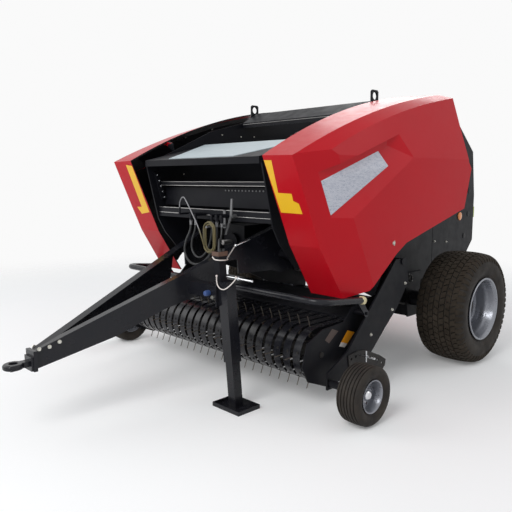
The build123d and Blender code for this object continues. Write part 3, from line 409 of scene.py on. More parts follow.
hose_routes = {
    "hose_outer": (0.017, 0.805, [
        (-0.090, ELBOW_Y, ELBOW_LOW), (-0.090, ELBOW_Y, 1.062), (-0.140, -1.756, 0.990),
        (-0.165, -1.760, 0.905), (-0.120, -1.760, 0.835), (-0.040, -1.757, 0.815), (0.050, -1.754, 0.845),
        (0.125, -1.752, 0.910), (0.176, -1.750, 0.985), (0.186, ELBOW_Y, 1.062), (0.186, ELBOW_Y, ELBOW_LOW),
    ]),
    "hose_inner": (0.014, 0.629, [
        (-0.040, ELBOW_Y, ELBOW_LOW), (-0.040, ELBOW_Y, 1.066), (-0.088, -1.745, 1.000),
        (-0.100, -1.745, 0.925), (-0.055, -1.745, 0.872), (0.010, -1.747, 0.870), (0.072, -1.748, 0.915),
        (0.115, -1.750, 0.985), (0.135, ELBOW_Y, 1.060), (0.135, ELBOW_Y, ELBOW_LOW),
    ]),
    "hose_parked": (0.014, 0.523, [
        (0.235, ELBOW_Y, ELBOW_LOW), (0.235, ELBOW_Y, 1.070), (0.262, -1.785, 1.012),
        (0.340, -1.850, 1.006), (0.398, -1.905, 1.030), (0.428, -1.935, 1.045), (0.459, -1.966, 1.040),
        (0.486, -1.992, 1.014), (0.500, -2.007, 0.974), (0.500, -2.007, 0.929),
    ]),
}
for name, (diameter, length, route) in hose_routes.items():
    points = [at(*point) for point in route]
    cord_curve(name + "_line", points, diameter, hose, [name])

# the cable comes down from its elbow and goes round and round in the coil
cable_lead = [
    (-0.219, ELBOW_Y, ELBOW_HIGH), (-0.219, ELBOW_Y, 1.236), (-0.208, ELBOW_Y, 1.263),
    (-0.172, -1.759, 1.286), (-0.128, -1.775, 1.280), (-0.080, -1.793, 1.252), (-0.022, -1.812, 1.210),
    (0.034, -1.826, 1.160), (0.078, -1.829, 1.106), (0.106, -1.827, 1.052), (0.116, -1.818, 1.000),
]
COIL_X, COIL_Y, COIL_LOW, COIL_HIGH, COIL_R = 0.160, -1.795, 0.980, 1.072, 0.048
COIL_TURNS, COIL_STEPS, STRAND_RING = 5, 12, 0.0092


def coil_points():
    """Control points of the turns: each strand steps round a ring inside the coil's thickness."""
    points = []
    for i in range(COIL_TURNS * COIL_STEPS):
        angle = radians(-135 + 360 / COIL_STEPS * i)
        strand = radians(-90 + 60 * i / COIL_STEPS)
        low = sin(angle) < 0
        radius = (COIL_R + STRAND_RING * cos(strand)) / cos(pi / COIL_STEPS)
        x = COIL_X + radius * cos(angle)
        z = (COIL_LOW if low else COIL_HIGH) + radius * sin(angle)
        points.append((x, COIL_Y + STRAND_RING * sin(strand), z))
    return points


cable_route = [at(*point) for point in cable_lead + coil_points()]
cord_curve(
    "control_cable_line", cable_route, 0.008, sheath, ["control_cable", "cable_coil"],
)

# ---------------------------------------------------------------- mesh tools


def circle(count, start=0.0):
    """Angles evenly round a circle."""
    return [start + tau * i / count for i in range(count)]


def polar(radius, angle):
    return radius * cos(angle), radius * sin(angle)


def band(n):
    """Faces between a ring of n points and the next ring."""
    return [(i, (i + 1) % n, n + (i + 1) % n, n + i) for i in range(n)]


def ring_at(x, y, radius, sides=14):
    """A round hole's outline."""
    return [(x + radius * cos(a), y + radius * sin(a)) for a in circle(sides)]


def on_ring(radius, angle, height):
    """A shift to a place on a circle round local Z."""
    return Matrix.Translation((*polar(radius, angle), height))


def facing(point, direction, spin=0.0):
    """A place whose local Z points along direction."""
    turned = Vector(direction).normalized().to_track_quat("Z", "Y").to_matrix().to_4x4()
    return Matrix.Translation(Vector(point)) @ turned @ Matrix.Rotation(spin, 4, "Z")


# a place whose local X, Y and Z are behind the axle, up and across the machine
SIDE_ON = Matrix(((0, 0, 1, 0), (1, 0, 0, AXLE), (0, 1, 0, 0), (0, 0, 0, 1)))


def smooth_line(points, steps=8):
    """Points on a smooth line through the given points (Catmull-Rom)."""
    points = [Vector(p) for p in points]
    padded = [2 * points[0] - points[1]] + points + [2 * points[-1] - points[-2]]
    line = []
    for a, b, c, d in zip(padded, padded[1:], padded[2:], padded[3:]):
        bend, twist = 2 * a - 5 * b + 4 * c - d, 3 * b - a - 3 * c + d
        for i in range(steps):
            t = i / steps
            line.append(0.5 * (2 * b + (c - a) * t + bend * t**2 + twist * t**3))
    return line + [points[-1]]


class Shape:
    """Collects faces for one piece."""

    def __init__(self):
        self.points = []
        self.faces = []

    def add(self, points, faces, place=None):
        start = len(self.points)
        self.points += [place @ Vector(p) if place else Vector(p) for p in points]
        self.faces += [tuple(start + i for i in face) for face in faces]

    def prism(self, outline, low, high, place=None):
        """An outline in local X and Y, from low to high along local Z."""
        n = len(outline)
        points = [(x, y, z) for z in (low, high) for x, y in outline]
        self.add(points, [tuple(range(n - 1, -1, -1)), tuple(range(n, 2 * n))] + band(n), place)

    def box(self, low, high, place=None):
        (x0, y0, z0), (x1, y1, z1) = low, high
        self.prism([(x0, y0), (x1, y0), (x1, y1), (x0, y1)], z0, z1, place)

    def disc(self, radius, low, high, place, sides):
        self.prism([polar(radius, a) for a in circle(sides)], low, high, place)

    def sheet(self, outline, holes, low, high, place):
        """A flat sheet with holes; outlines are in local X and Y."""
        loops = [outline] + holes
        flat = [point for loop in loops for point in loop]
        triangles = tessellate_polygon([[Vector((x, y, 0.0)) for x, y in loop] for loop in loops])
        n = len(flat)
        points = [(x, y, z) for z in (low, high) for x, y in flat]
        faces = [tuple(t) for t in triangles] + [tuple(n + i for i in reversed(t)) for t in triangles]
        start = 0
        for loop in loops:
            for i in range(len(loop)):
                a, b = start + i, start + (i + 1) % len(loop)
                faces.append((a, b, n + b, n + a))
            start += len(loop)
        self.add(points, faces, place)

    def holed_ring(self, radii, holes, low, high, place):
        """A flat ring between two radii, with round holes: their count, radius and distance from the axis."""
        (inner, outer), (count, hole_r, hole_at) = radii, holes
        share, around = tau / count, 24
        middle, half_u, half_v = (inner + outer) / 2, (outer - inner) / 2, share / 2 * hole_at
        rim, hole = [], []
        for angle in circle(around, -pi / 4):
            c, s = cos(angle), sin(angle)
            reach = 1 / max(abs(c), abs(s))
            rim.append((middle + half_u * c * reach, half_v * s * reach))
            hole.append((hole_at + hole_r * c, hole_r * s))
        for n in range(count):
            turned = [(radius, share * n + across / hole_at) for radius, across in rim + hole]
            points = [(*polar(radius, angle), z) for z in (low, high) for radius, angle in turned]
            faces = []
            for i in range(around):
                j = (i + 1) % around
                faces.append((i, j, around + j, around + i))
                faces.append((2 * around + i, 3 * around + i, 3 * around + j, 2 * around + j))
                faces.append((around + i, around + j, 3 * around + j, 3 * around + i))
            self.add(points, faces, place)

    def bolt(self, place, size, stud=0.0):
        """A hexagon head on a washer, standing on local Z = 0."""
        self.disc(size * 1.15, 0.0, size * 0.18, place, 16)
        self.disc(size, size * 0.18, size * 0.85, place, 6)
        if stud:
            self.disc(size * 0.5, size * 0.85, size * 0.85 + stud, place, 10)

    def lathe(self, profile, place, sides, closed=False):
        """A profile of (along, radius) turned about local Z."""
        n = len(profile)
        points = [(*polar(r, a), z) for a in circle(sides) for z, r in profile]
        faces = []
        for here in range(sides):
            start, after = here * n, (here + 1) % sides * n
            for i in range(n if closed else n - 1):
                j = (i + 1) % n
                faces.append((start + i, start + j, after + j, after + i))
        self.add(points, faces, place)

    def shell(self, profile, back, place, sides):
        """Turned sheet metal: a profile and the same line moved by back (along, radius)."""
        behind = [(z + back[0], r + back[1]) for z, r in reversed(profile)]
        self.lathe(profile + behind, place, sides, closed=True)

    def collar(self, inner, outer, low, high, place, sides):
        """A round plate or ring, turned so that its rim shades smoothly."""
        self.lathe([(low, inner), (low, outer), (high, outer), (high, inner)], place, sides)

    def tube(self, path, radius, sides):
        """A round bar along points."""
        path = [Vector(p) for p in path]
        last = len(path) - 1
        normal = None
        points = []
        for i, point in enumerate(path):
            heading = (path[min(i + 1, last)] - path[max(i - 1, 0)]).normalized()
            if normal is None:
                normal = heading.orthogonal().normalized()
            normal = (normal - heading * normal.dot(heading)).normalized()
            side = heading.cross(normal)
            points += [point + radius * (cos(a) * normal + sin(a) * side) for a in circle(sides)]
        faces = []
        for start in range(0, last * sides, sides):
            for k in range(sides):
                after = (k + 1) % sides
                faces.append((start + k, start + after, start + sides + after, start + sides + k))
        faces += [tuple(range(sides - 1, -1, -1)), tuple(range(last * sides, (last + 1) * sides))]
        self.add(points, faces)

    def piece(self, name, body, material, slot, edges=0.0, smooth=35, stands_for=()):
        """Makes the object and rides it on its body."""
        mesh = bpy.data.meshes.new(name)
        mesh.from_pydata([tuple(p) for p in self.points], [], self.faces)
        work = bmesh.new()
        work.from_mesh(mesh)
        bmesh.ops.recalc_face_normals(work, faces=work.faces)
        work.to_mesh(mesh)
        work.free()
        obj = bpy.data.objects.new(name, mesh)
        scene.collection.objects.link(obj)
        dress(obj, material)
        if smooth:
            mesh.shade_smooth()
            mesh.set_sharp_from_angle(angle=radians(smooth))
        if edges:
            soften(obj, edges)
        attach(obj, body)
        if stands_for:
            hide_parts(*stands_for)


# the surfaces of the CAD nodes that lines have been thrown at
surfaces = {}


def hit(node, start, direction):
    """Where a line first meets a CAD node, and the surface's direction there."""
    if node not in surfaces:
        mesh = nodes[node].data
        corners = [nodes[node].matrix_world @ v.co for v in mesh.vertices]
        surfaces[node] = BVHTree.FromPolygons(corners, [tuple(p.vertices) for p in mesh.polygons])
    point, normal, _, _ = surfaces[node].ray_cast(Vector(start), Vector(direction).normalized())
    if point is None:
        raise ValueError(f"no surface of {node} from {tuple(start)}")
    if normal.dot(Vector(direction)) > 0:
        normal = -normal
    return point, normal


def film(name, body, node, starts, direction, material):
    """A thin sticker on a CAD node, its corners thrown onto the node along direction."""
    under, top = 0.0001, 0.0006
    met = [hit(node, start, direction) for start in starts]
    normal = met[0][1]
    n = len(met)
    shape = Shape()
    points = [point + lift * normal for lift in (under, top) for point, _ in met]
    shape.add(points, [tuple(range(n, 2 * n))] + band(n))
    shape.piece(name, body, material, "lamp_plastic", smooth=0)


def bolts_on(name, body, node, starts, direction, size, stud=0.0, material=zinc):
    """Hexagon heads standing on a CAD node where lines from the starts meet it."""
    shape = Shape()
    turn_each = 0.4
    for i, start in enumerate(starts):
        shape.bolt(facing(*hit(node, start, direction), turn_each * i), size, stud)
    shape.piece(name, body, material, "steel", edges=0.0004)


def side_bolts(name, body, node, x, way, spots, size, stud=0.0):
    """Bolts on the face that a node shows to x, at spots given as behind the axle and up."""
    bolts_on(name, body, node, [at(x, y, z) for y, z in spots], (way, 0, 0), size, stud)

# ---------------------------------------------------------------- wheels

TYRE_RADIUS, TYRE_SHOULDER, CROWN_HALF = 0.425, 0.412, 0.152
TREAD_COUNT, TREAD_ROWS, TREAD_WIDTH, TREAD_DEPTH = 54, 7, 0.300, 0.018
TREAD_PITCH = tau / TREAD_COUNT
RIBBED_RADIUS, RIBBED_SHOULDER, RIBBED_HALF = 0.176, 0.170, 0.070
GROOVES, GROOVE_DEPTH = (0.010, 0.0325, 0.053), 0.007


def wheel_place(body, out):
    """The middle of a wheel, local Z outward along its axis."""
    return facing(joints[f"{body}_spin"]["pos_m"], (out, 0, 0))


def crown(across, half, radius, shoulder):
    """Radius of a tread's face at a distance from its middle."""
    return radius - (radius - shoulder) * (abs(across) / half) ** 2.6


def tread_blocks(shape, place):
    """Rows of arrow-shaped blocks; every other row is offset and leans the other way."""
    row_width = TREAD_WIDTH / TREAD_ROWS
    arrow = ((-1, -1), (0, -1.12), (1, -1), (1, 1), (0, 0.88), (-1, 1))
    half_width, half_length = 0.41, 0.40
    for row in range(TREAD_ROWS):
        middle = -TREAD_WIDTH / 2 + row_width * (row + 0.5)
        skew, lean = (0.5, 0.14) if row % 2 else (0.0, -0.14)
        for n in range(TREAD_COUNT):
            start = TREAD_PITCH * (n + skew)
            points = []
            for depth in (TREAD_DEPTH, 0.0):
                for u, v in arrow:
                    across = middle + u * row_width * half_width
                    radius = crown(across, CROWN_HALF, TYRE_RADIUS, TYRE_SHOULDER) - depth
                    angle = start + TREAD_PITCH * (half_length * v + lean * u)
                    points.append((*polar(radius, angle), across))
            shape.add(points, [tuple(range(6, 12))] + band(6), place)


def shoulder_lugs(shape, place):
    """Lugs that run down from the tread over both side walls."""
    top = [(0.146, 0.4125), (0.164, 0.404), (0.178, 0.386), (0.1845, 0.364)]
    foot = [(0.140, 0.400), (0.156, 0.396), (0.170, 0.380), (0.1795, 0.360)]
    half_lengths = (0.36, 0.36, 0.30, 0.22)
    for side in (-1, 1):
        for n in range(TREAD_COUNT):
            middle = TREAD_PITCH * (n + 0.25 * side)
            points = []
            for (z, r), (zf, rf), half in zip(top, foot, half_lengths):
                points += [(*polar(r, middle + TREAD_PITCH * v), side * z) for v in (-half, half)]
                points += [(*polar(rf, middle + TREAD_PITCH * v), side * zf) for v in (half, -half)]
            faces = []
            for k in range(0, 4 * len(top) - 4, 4):
                faces += [(k, k + 1, k + 5, k + 4), (k + 1, k + 2, k + 6, k + 5), (k + 3, k, k + 4, k + 7)]
            shape.add(points, faces + [(0, 3, 2, 1), (12, 13, 14, 15)], place)


def main_tyre(hand, out):
    body = f"wheel_{hand}"
    place = wheel_place(body, out)
    side = [
        (0.120, 0.224), (0.150, 0.226), (0.158, 0.236), (0.163, 0.250), (0.170, 0.262), (0.1715, 0.264),
        (0.172, 0.272), (0.1795, 0.290), (0.1835, 0.310), (0.184, 0.330), (0.1815, 0.350), (0.180, 0.353),
        (0.1795, 0.360), (0.176, 0.378), (0.169, 0.394), (0.158, 0.402), (0.130, 0.408), (0.08, 0.4125),
        (0.0, 0.4145),
    ]
    beads = [(0.110, 0.234), (-0.110, 0.234)]
    carcass = Shape()
    carcass.lathe([(-z, r) for z, r in side[:-1]] + side[::-1] + beads, place, 120, closed=True)
    carcass.piece(f"carcass_{hand}", body, rubber, "tyre", smooth=40, stands_for=[f"tyre_{hand}"])
    blocks = Shape()
    tread_blocks(blocks, place)
    shoulder_lugs(blocks, place)
    blocks.piece(f"tread_{hand}", body, tread, "tyre", smooth=20)


def main_rim(hand, out):
    body = f"wheel_{hand}"
    place = wheel_place(body, out)
    barrel = [
        (0.172, 0.238), (0.1745, 0.2355), (0.1735, 0.229), (0.168, 0.2255), (0.160, 0.2215), (0.150, 0.2155),
        (0.120, 0.2135), (0.105, 0.205), (0.080, 0.198), (0.045, 0.197), (0.0, 0.196), (-0.060, 0.197),
        (-0.100, 0.205), (-0.130, 0.2135), (-0.160, 0.2155), (-0.168, 0.222), (-0.1735, 0.236),
    ]
    sheet, web_inner, web_outer, web_face = 0.008, 0.105, 0.182, 0.010
    flange, nuts, nut_ring = 0.034, 6, 0.070
    dish = Shape()
    dish.shell(barrel, (0.001, -0.004), place, 96)
    dish.shell([(0.030, 0.075), (0.026, 0.090), (web_face, web_inner)], (-sheet, 0.0), place, 72)
    dish.holed_ring((web_inner, web_outer), (8, 0.017, 0.146), web_face - sheet, web_face, place)
    dish.shell([(web_face, web_outer), (0.014, 0.190), (0.034, 0.198)], (-sheet, 0.0), place, 96)
    dish.piece(f"dish_{hand}", body, silver, "rim_silver", smooth=40, stands_for=[f"rim_{hand}"])
    hub = Shape()
    cap = [(0.036, 0.060), (0.058, 0.052), (0.066, 0.044), (0.070, 0.020), (0.070, 0.0)]
    barrel = [(-0.090, 0.0322), (-0.090, 0.062), (0.020, 0.062), (0.024, 0.082), (flange, 0.084)]
    hub.lathe(barrel + cap, place, 48)
    for a in circle(nuts, 0.2):
        hub.bolt(place @ on_ring(nut_ring, a, flange), 0.0105, 0.008)
    hub.piece(f"hub_{hand}", body, black_worn, "black_paint", edges=0.001)
    valve = Shape()
    stem = place @ Matrix.Translation((0.0, 0.206, 0.098))
    valve.disc(0.005, -0.01, 0.028, stem, 10)
    valve.disc(0.0065, 0.028, 0.040, stem, 10)
    valve.piece(f"valve_{hand}", body, hose, "rubber")


def gauge_wheel(hand, out):
    body = f"gauge_wheel_{hand}"
    place = wheel_place(body, out)
    side = [
        (0.052, 0.096), (0.058, 0.099), (0.062, 0.106), (0.069, 0.114), (0.0705, 0.1155), (0.075, 0.124),
        (0.0785, 0.134), (0.079, 0.144), (0.0775, 0.153), (0.0765, 0.1545), (0.073, 0.162), (0.067, 0.168),
    ]
    face = [(0.0, RIBBED_RADIUS)]
    for groove in GROOVES:
        top = crown(groove, RIBBED_HALF, RIBBED_RADIUS, RIBBED_SHOULDER)
        for aside, depth in ((-0.0042, 0.0), (-0.0025, GROOVE_DEPTH), (0.0025, GROOVE_DEPTH), (0.0042, 0.0)):
            face.append((groove + aside, top - depth))
    face.append((0.060, 0.1725))
    half = side + face[::-1]
    beads = [(-0.045, 0.103), (0.045, 0.103)]
    tyre = Shape()
    tyre.lathe(half[:-1] + [(-z, r) for z, r in reversed(half)] + beads, place, 84, closed=True)
    tyre.piece(f"ribbed_tyre_{hand}", body, rubber, "tyre", smooth=32, stands_for=[f"gauge_tyre_{hand}"])
    barrel = [
        (0.062, 0.0985), (0.0655, 0.0975), (0.065, 0.094), (0.060, 0.090), (0.045, 0.087), (0.030, 0.080),
        (0.0, 0.079), (-0.030, 0.080), (-0.045, 0.087), (-0.060, 0.090), (-0.065, 0.097),
    ]
    sheet, web_inner, web_face, nuts, nut_ring = 0.004, 0.046, 0.008, 5, 0.040
    rim = Shape()
    rim.shell(barrel, (0.0, -0.003), place, 72)
    rim.shell([(0.018, 0.030), (0.020, 0.036), (web_face, web_inner)], (-sheet, 0.0), place, 48)
    rim.holed_ring((web_inner, 0.080), (5, 0.0085, 0.062), web_face - sheet, web_face, place)
    rim.piece(f"gauge_dish_{hand}", body, silver, "rim_silver", smooth=40, stands_for=[f"gauge_rim_{hand}"])
    hub = Shape()
    cap = [(0.030, 0.030), (0.034, 0.028), (0.040, 0.020), (0.042, 0.0)]
    hub.lathe([(-0.055, 0.0152), (-0.055, 0.030)] + cap, place, 32)
    for a in circle(nuts, 0.5):
        hub.bolt(place @ on_ring(nut_ring, a, 0.014), 0.0065, 0.006)
    hub.piece(f"gauge_hub_{hand}", body, chrome, "steel", edges=0.0006)


for hand, out in SIDES:
    main_tyre(hand, out)
    main_rim(hand, out)
    gauge_wheel(hand, out)

# ---------------------------------------------------------------- pickup

REEL_Y, REEL_Z, PICKUP_HALF = -1.570, 0.345, 0.938
TINE_ROWS, FIRST_BAND = 22, -PICKUP_HALF + 0.050
ROW_PITCH = 2 * (PICKUP_HALF - 0.050) / TINE_ROWS
BAR_OUT, BAND_OUT = 0.108, 0.165


def reel_point(turn, out, across, x):
    """A point of the reel: turn in degrees from the rear, out from the shaft, across that line."""
    c, s = cos(radians(turn)), sin(radians(turn))
    return at(x, REEL_Y + out * c - across * s, REEL_Z + out * s + across * c)


def reel_core():
    """The shaft, its tube, four discs with hubs and the four bars that carry the tines."""
    half, shaft_half, disc_half, hub_half = PICKUP_HALF - 0.008, 0.945, 0.004, 0.010
    shaft_radius, hub_radius, tube_radius, disc_radius, bar_radius = 0.018, 0.034, 0.040, 0.128, 0.011
    core = Shape()
    shaft = facing(at(0, REEL_Y, REEL_Z), (1, 0, 0))
    core.collar(0.0, shaft_radius, -shaft_half, shaft_half, shaft, 24)
    for middle in (-half + 0.006, -0.31, 0.31, half - 0.006):
        core.collar(shaft_radius, disc_radius, middle - disc_half, middle + disc_half, shaft, 48)
        hub = [(middle - hub_half, hub_radius), (middle + hub_half, hub_radius)]
        core.lathe([(middle - 0.022, shaft_radius)] + hub + [(middle + hub_half, shaft_radius)], shaft, 32)
    core.collar(0.030, tube_radius, -half, half, shaft, 32)
    for turn in (0, 90, 180, 270):
        core.tube([reel_point(turn, BAR_OUT, 0.0, x) for x in (-half, half)], bar_radius, 14)
    core.piece("reel_core", "reel", black_worn, "black_paint", smooth=40, stands_for=["tine_reel"])


def tine_path(x, turn, lean):
    """A spring wire: its coil round the bar, and the tine that leans off the line from the shaft."""
    coil_radius, coil_half, coil_step = 0.0145, 0.010, 0.0005
    path = []
    for i in range(22):
        out, across = polar(coil_radius, radians(90 + 36 * i))
        path.append(reel_point(turn, BAR_OUT + out, across, x + coil_half - coil_step * i))
    tine = [(0.128, 0.010), (0.150, 0.003), (0.172, lean * 0.25), (0.196, lean * 0.55), (0.216, lean * 0.85),
            (0.2295, lean * 1.08)]
    return path + [reel_point(turn, out, across, x) for out, across in tine]


def tine_wires():
    wires = Shape()
    for row in range(TINE_ROWS):
        for turn, lean in ((90, 0.026), (180, 0.0), (270, -0.026), (0, 0.0)):
            wires.tube(tine_path(FIRST_BAND + ROW_PITCH * (row + 0.5), turn, lean), 0.0030, 6)
    wires.piece("tine_wires", "reel", tine_wire, "steel", smooth=60)


def pickup_marks():
    """An orange and white sticker and a brown one on each end plate."""
    top, foot, share = [(-1.310, 0.449), (-1.233, 0.423)], [(-1.336, 0.342), (-1.395, 0.362)], 0.75
    split = [(a[0] + share * (b[0] - a[0]), a[1] + share * (b[1] - a[1])) for a, b in zip(top, foot[::-1])]
    brown = [(-1.467, 0.488), (-1.405, 0.462), (-1.497, 0.402), (-1.537, 0.430)]
    films = (
        ("orange", top + split[::-1], orange_film), ("white", split + foot, white_film),
        ("brown", brown, brown_film),
    )
    for hand, out in SIDES:
        for label, corners, material in films:
            starts = [at(out * 0.985, y, z) for y, z in corners]
            film(f"pickup_film_{label}_{hand}", "pickup", "pickup_frame", starts, (-out, 0, 0), material)


def band_bolts():
    """Each band is held by two bolts round its nose and two on its top."""
    shape = Shape()
    for i in range(TINE_ROWS + 1):
        x = FIRST_BAND + ROW_PITCH * i
        for angle in (168, 215):
            c, s = polar(1.0, radians(angle))
            nose = facing(at(x, REEL_Y + BAND_OUT * c, REEL_Z + BAND_OUT * s), (0, c, s))
            shape.disc(0.0085, -0.001, 0.0022, nose, 14)
            shape.disc(0.0045, 0.0022, 0.0042, nose, 8)
        for y in (-1.50, -1.33):
            shape.disc(0.0075, -0.001, 0.003, facing(at(x, y, REEL_Z + BAND_OUT), (0, 0, 1)), 12)
    shape.piece("band_bolts", "pickup", black_worn, "steel")


def wind_guard_caps():
    profile = [(0.0, 0.0215), (0.0, 0.0255), (0.022, 0.0262), (0.034, 0.022), (0.037, 0.012), (0.0375, 0.0)]
    for hand, out in SIDES:
        cap = Shape()
        cap.lathe(profile, facing(at(out * 1.018, -1.290, 0.655), (out, 0, 0)), 28)
        cap.piece(f"wind_guard_cap_{hand}", "wind_guard", cream, "rubber", smooth=50)


def arm_details():
    """Bolts, the height pin and its holed plate on the gauge wheels' arms."""
    pin_y, pin_z, plate_inner, plate_outer = -1.278, 0.297, 1.0125, 1.0185
    outline = [(-1.405, 0.318), (-1.300, 0.330), (-1.215, 0.316), (-1.060, 0.250), (-0.985, 0.205),
               (-0.992, 0.165), (-1.030, 0.135), (-1.105, 0.152), (-1.240, 0.205), (-1.390, 0.240)]
    hole_spots = ((-1.372, 0.290), (-1.325, 0.297), (pin_y, pin_z), (-1.228, 0.286), (-1.180, 0.268),
                  (-1.130, 0.246), (-1.082, 0.222), (-1.030, 0.190))
    holes = [ring_at(y, z, 0.0085) for y, z in hole_spots]
    bolt_spots = ((-0.762, 0.694), (-0.917, 0.533), (-1.159, 0.406))
    for hand, out in SIDES:
        side_bolts(f"arm_bolts_{hand}", "pickup", "gauge_arms", out * 1.4, -out, bolt_spots, 0.009, 0.004)
        quadrant = Shape()
        quadrant.sheet(outline, holes, plate_inner * out, plate_outer * out, SIDE_ON)
        quadrant.piece(f"height_plate_{hand}", "pickup", black_worn, "black_paint", smooth=0)
        pin = Shape()
        pin.tube([at(out * x, pin_y, pin_z) for x in (1.012, 1.128)], 0.0065, 14)
        pin.tube([at(out * 1.062, pin_y, z) for z in (0.262, 0.334)], 0.0060, 14)
        pin.collar(0.0, 0.010, 0.0, 0.012, facing(at(out * 1.056, pin_y, pin_z), (out, 0, 0)), 20)
        pin.piece(f"height_pin_{hand}", "pickup", chrome, "steel", smooth=50)


reel_core()
tine_wires()
pickup_marks()
band_bolts()
wind_guard_caps()
arm_details()

# ---------------------------------------------------------------- guards and front


def guard_marks():
    """The yellow strip down each guard's front, the blank sign on its side and its latch."""
    strips = {
        "left": [(0.702, 1.517), (0.762, 1.515), (0.738, 1.327), (0.8435, 1.323), (0.840, 1.281),
                 (0.878, 1.266), (0.884, 1.205), (0.7126, 1.208)],
        "right": [(0.706, 1.507), (0.782, 1.516), (0.800, 1.192), (0.866, 1.190), (0.840, 1.135),
                  (0.722, 1.152)],
    }
    sign = [(-1.636, 1.396), (-1.118, 1.580), (-1.045, 1.488), (-1.547, 1.195)]
    ahead, aside = -2.10, 1.6
    for hand, out in SIDES:
        guard = f"guard_{hand}"
        starts = [at(out * x, ahead, z) for x, z in strips[hand]]
        film(f"yellow_strip_{hand}", guard, guard, starts, (0, 1, 0), yellow)
        starts = [at(out * aside, y, z) for y, z in sign]
        film(f"blank_sign_{hand}", guard, guard, starts, (-out, 0, 0), plate)
        latch = Shape()
        place = facing(*hit(guard, at(out * aside, -0.980, 0.992), (-out, 0, 0)))
        latch.disc(0.013, -0.001, 0.004, place, 28)
        latch.disc(0.008, 0.004, 0.007, place, 20)
        latch.box((-0.0025, -0.017, 0.005), (0.0025, 0.017, 0.009), place)
        latch.piece(f"guard_latch_{hand}", guard, zinc, "steel", edges=0.001)


def panel_bolts():
    first, reach, count = 0.10, 0.40, 13
    heads = [at(first + reach / (count - 1) * i, -1.80, 1.33) for i in range(count)]
    bolts_on("panel_bolts", "chassis", "front_panel", heads, (0, 1, 0), 0.005, material=dark_zinc)


guard_marks()
panel_bolts()

# ---------------------------------------------------------------- walls, drive and tailgate

CHAMBER_Y, CHAMBER_Z, ROLLER_RING, WALL_OUT = 0.290, 1.185, 0.680, 0.617
CHAIN_X, CHAIN_RING, CHAIN_PITCH = 0.6465, 0.062, 0.0175
SPROCKETS, TEETH = (-71, -91), 22


def roller_spot(angle):
    """A roller's axis; the angle runs from the chamber's top in degrees, forward below zero."""
    a = radians(angle)
    return CHAMBER_Y + ROLLER_RING * sin(a), CHAMBER_Z + ROLLER_RING * cos(a)


def roller_place(angle, out):
    """Where a roller's axis leaves the wall, local Z outward."""
    return facing(at(out * WALL_OUT, *roller_spot(angle)), (out, 0, 0), radians(angle))


def bearings():
    """Flanged bearings outside the walls under the guards, and flat covers where the tailgate shows."""
    flange = [(0.0, 0.0215), (0.0, 0.043), (0.005, 0.0435), (0.007, 0.037), (0.012, 0.034), (0.019, 0.032),
              (0.0205, 0.022), (0.0205, 0.0215)]
    cover = [(-0.001, 0.0), (-0.001, 0.027), (0.002, 0.0265), (0.003, 0.024), (0.003, 0.0)]
    bolt_ring = 0.0375
    rollers = {"chassis": (-31, -51, -71, -91, -111, -150, -170), "tailgate": (27, 45, 63)}
    for hand, out in SIDES:
        for body, angles in rollers.items():
            cups, heads = Shape(), Shape()
            for angle in angles:
                place = roller_place(angle, out)
                cups.lathe(flange, place, 32, closed=True)
                cups.disc(0.0195, -0.002, 0.016, place, 28)
                for a in circle(3, 0.5):
                    heads.bolt(place @ on_ring(bolt_ring, a, 0.0065), 0.0058, 0.004)
                nipple = place @ Matrix.Translation((0.0, 0.028, 0.018))
                heads.disc(0.0028, 0.0, 0.009, nipple, 8)
            cups.piece(f"bearings_{body}_{hand}", body, black_worn, "black_paint", edges=0.0008)
            heads.piece(f"bearing_bolts_{body}_{hand}", body, zinc, "steel")
        covers = Shape()
        for angle in (81, 99, 117, 135, 153, 171):
            covers.lathe(cover, roller_place(angle, out), 32)
        covers.piece(f"shaft_covers_{hand}", "tailgate", black, "black_paint", smooth=40)


def sprocket(shape, place):
    """A toothed wheel with four holes, and its hub."""
    outline = []
    for i in range(TEETH):
        for share, height in ((0.0, -0.004), (0.28, -0.003), (0.42, 0.006), (0.58, 0.006), (0.72, -0.003)):
            outline.append(polar(CHAIN_RING + height, tau * (i + share) / TEETH))
    holes = [ring_at(*polar(0.038, a), 0.010) for a in circle(4, 0.4)]
    shape.sheet(outline, holes, -0.003, 0.003, place)
    shape.disc(0.020, -0.0095, 0.011, place, 24)


def chain_line():
    """The closed line that the chain follows, round the outside of the sprockets' equal circles."""
    spots = [roller_spot(angle) for angle in SPROCKETS]
    line = []
    for i, here in enumerate(spots):
        before, after = spots[i - 1], spots[(i + 1) % len(spots)]
        leave = atan2(after[1] - here[1], after[0] - here[0]) - pi / 2
        come = atan2(here[1] - before[1], here[0] - before[0]) - pi / 2
        while leave < come:
            leave += tau
        steps = max(2, int((leave - come) * CHAIN_RING / 0.004))
        for k in range(steps + 1):
            y, z = polar(CHAIN_RING, come + (leave - come) * k / steps)
            line.append((here[0] + y, here[1] + z))
    return line + [line[0]]


def chain_pins(line):
    """Evenly spaced points on a closed line, an even number of them, and the pitch between them."""
    lengths = [0.0]
    for (ya, za), (yb, zb) in zip(line, line[1:]):
        lengths.append(lengths[-1] + hypot(yb - ya, zb - za))
    count = int(lengths[-1] / CHAIN_PITCH) // 2 * 2
    pitch = lengths[-1] / count
    spots, k = [], 0
    for i in range(count):
        while lengths[k + 1] < pitch * i:
            k += 1
        share = (pitch * i - lengths[k]) / (lengths[k + 1] - lengths[k])
        (ya, za), (yb, zb) = line[k], line[k + 1]
        spots.append((ya + share * (yb - ya), za + share * (zb - za)))
    return spots, pitch


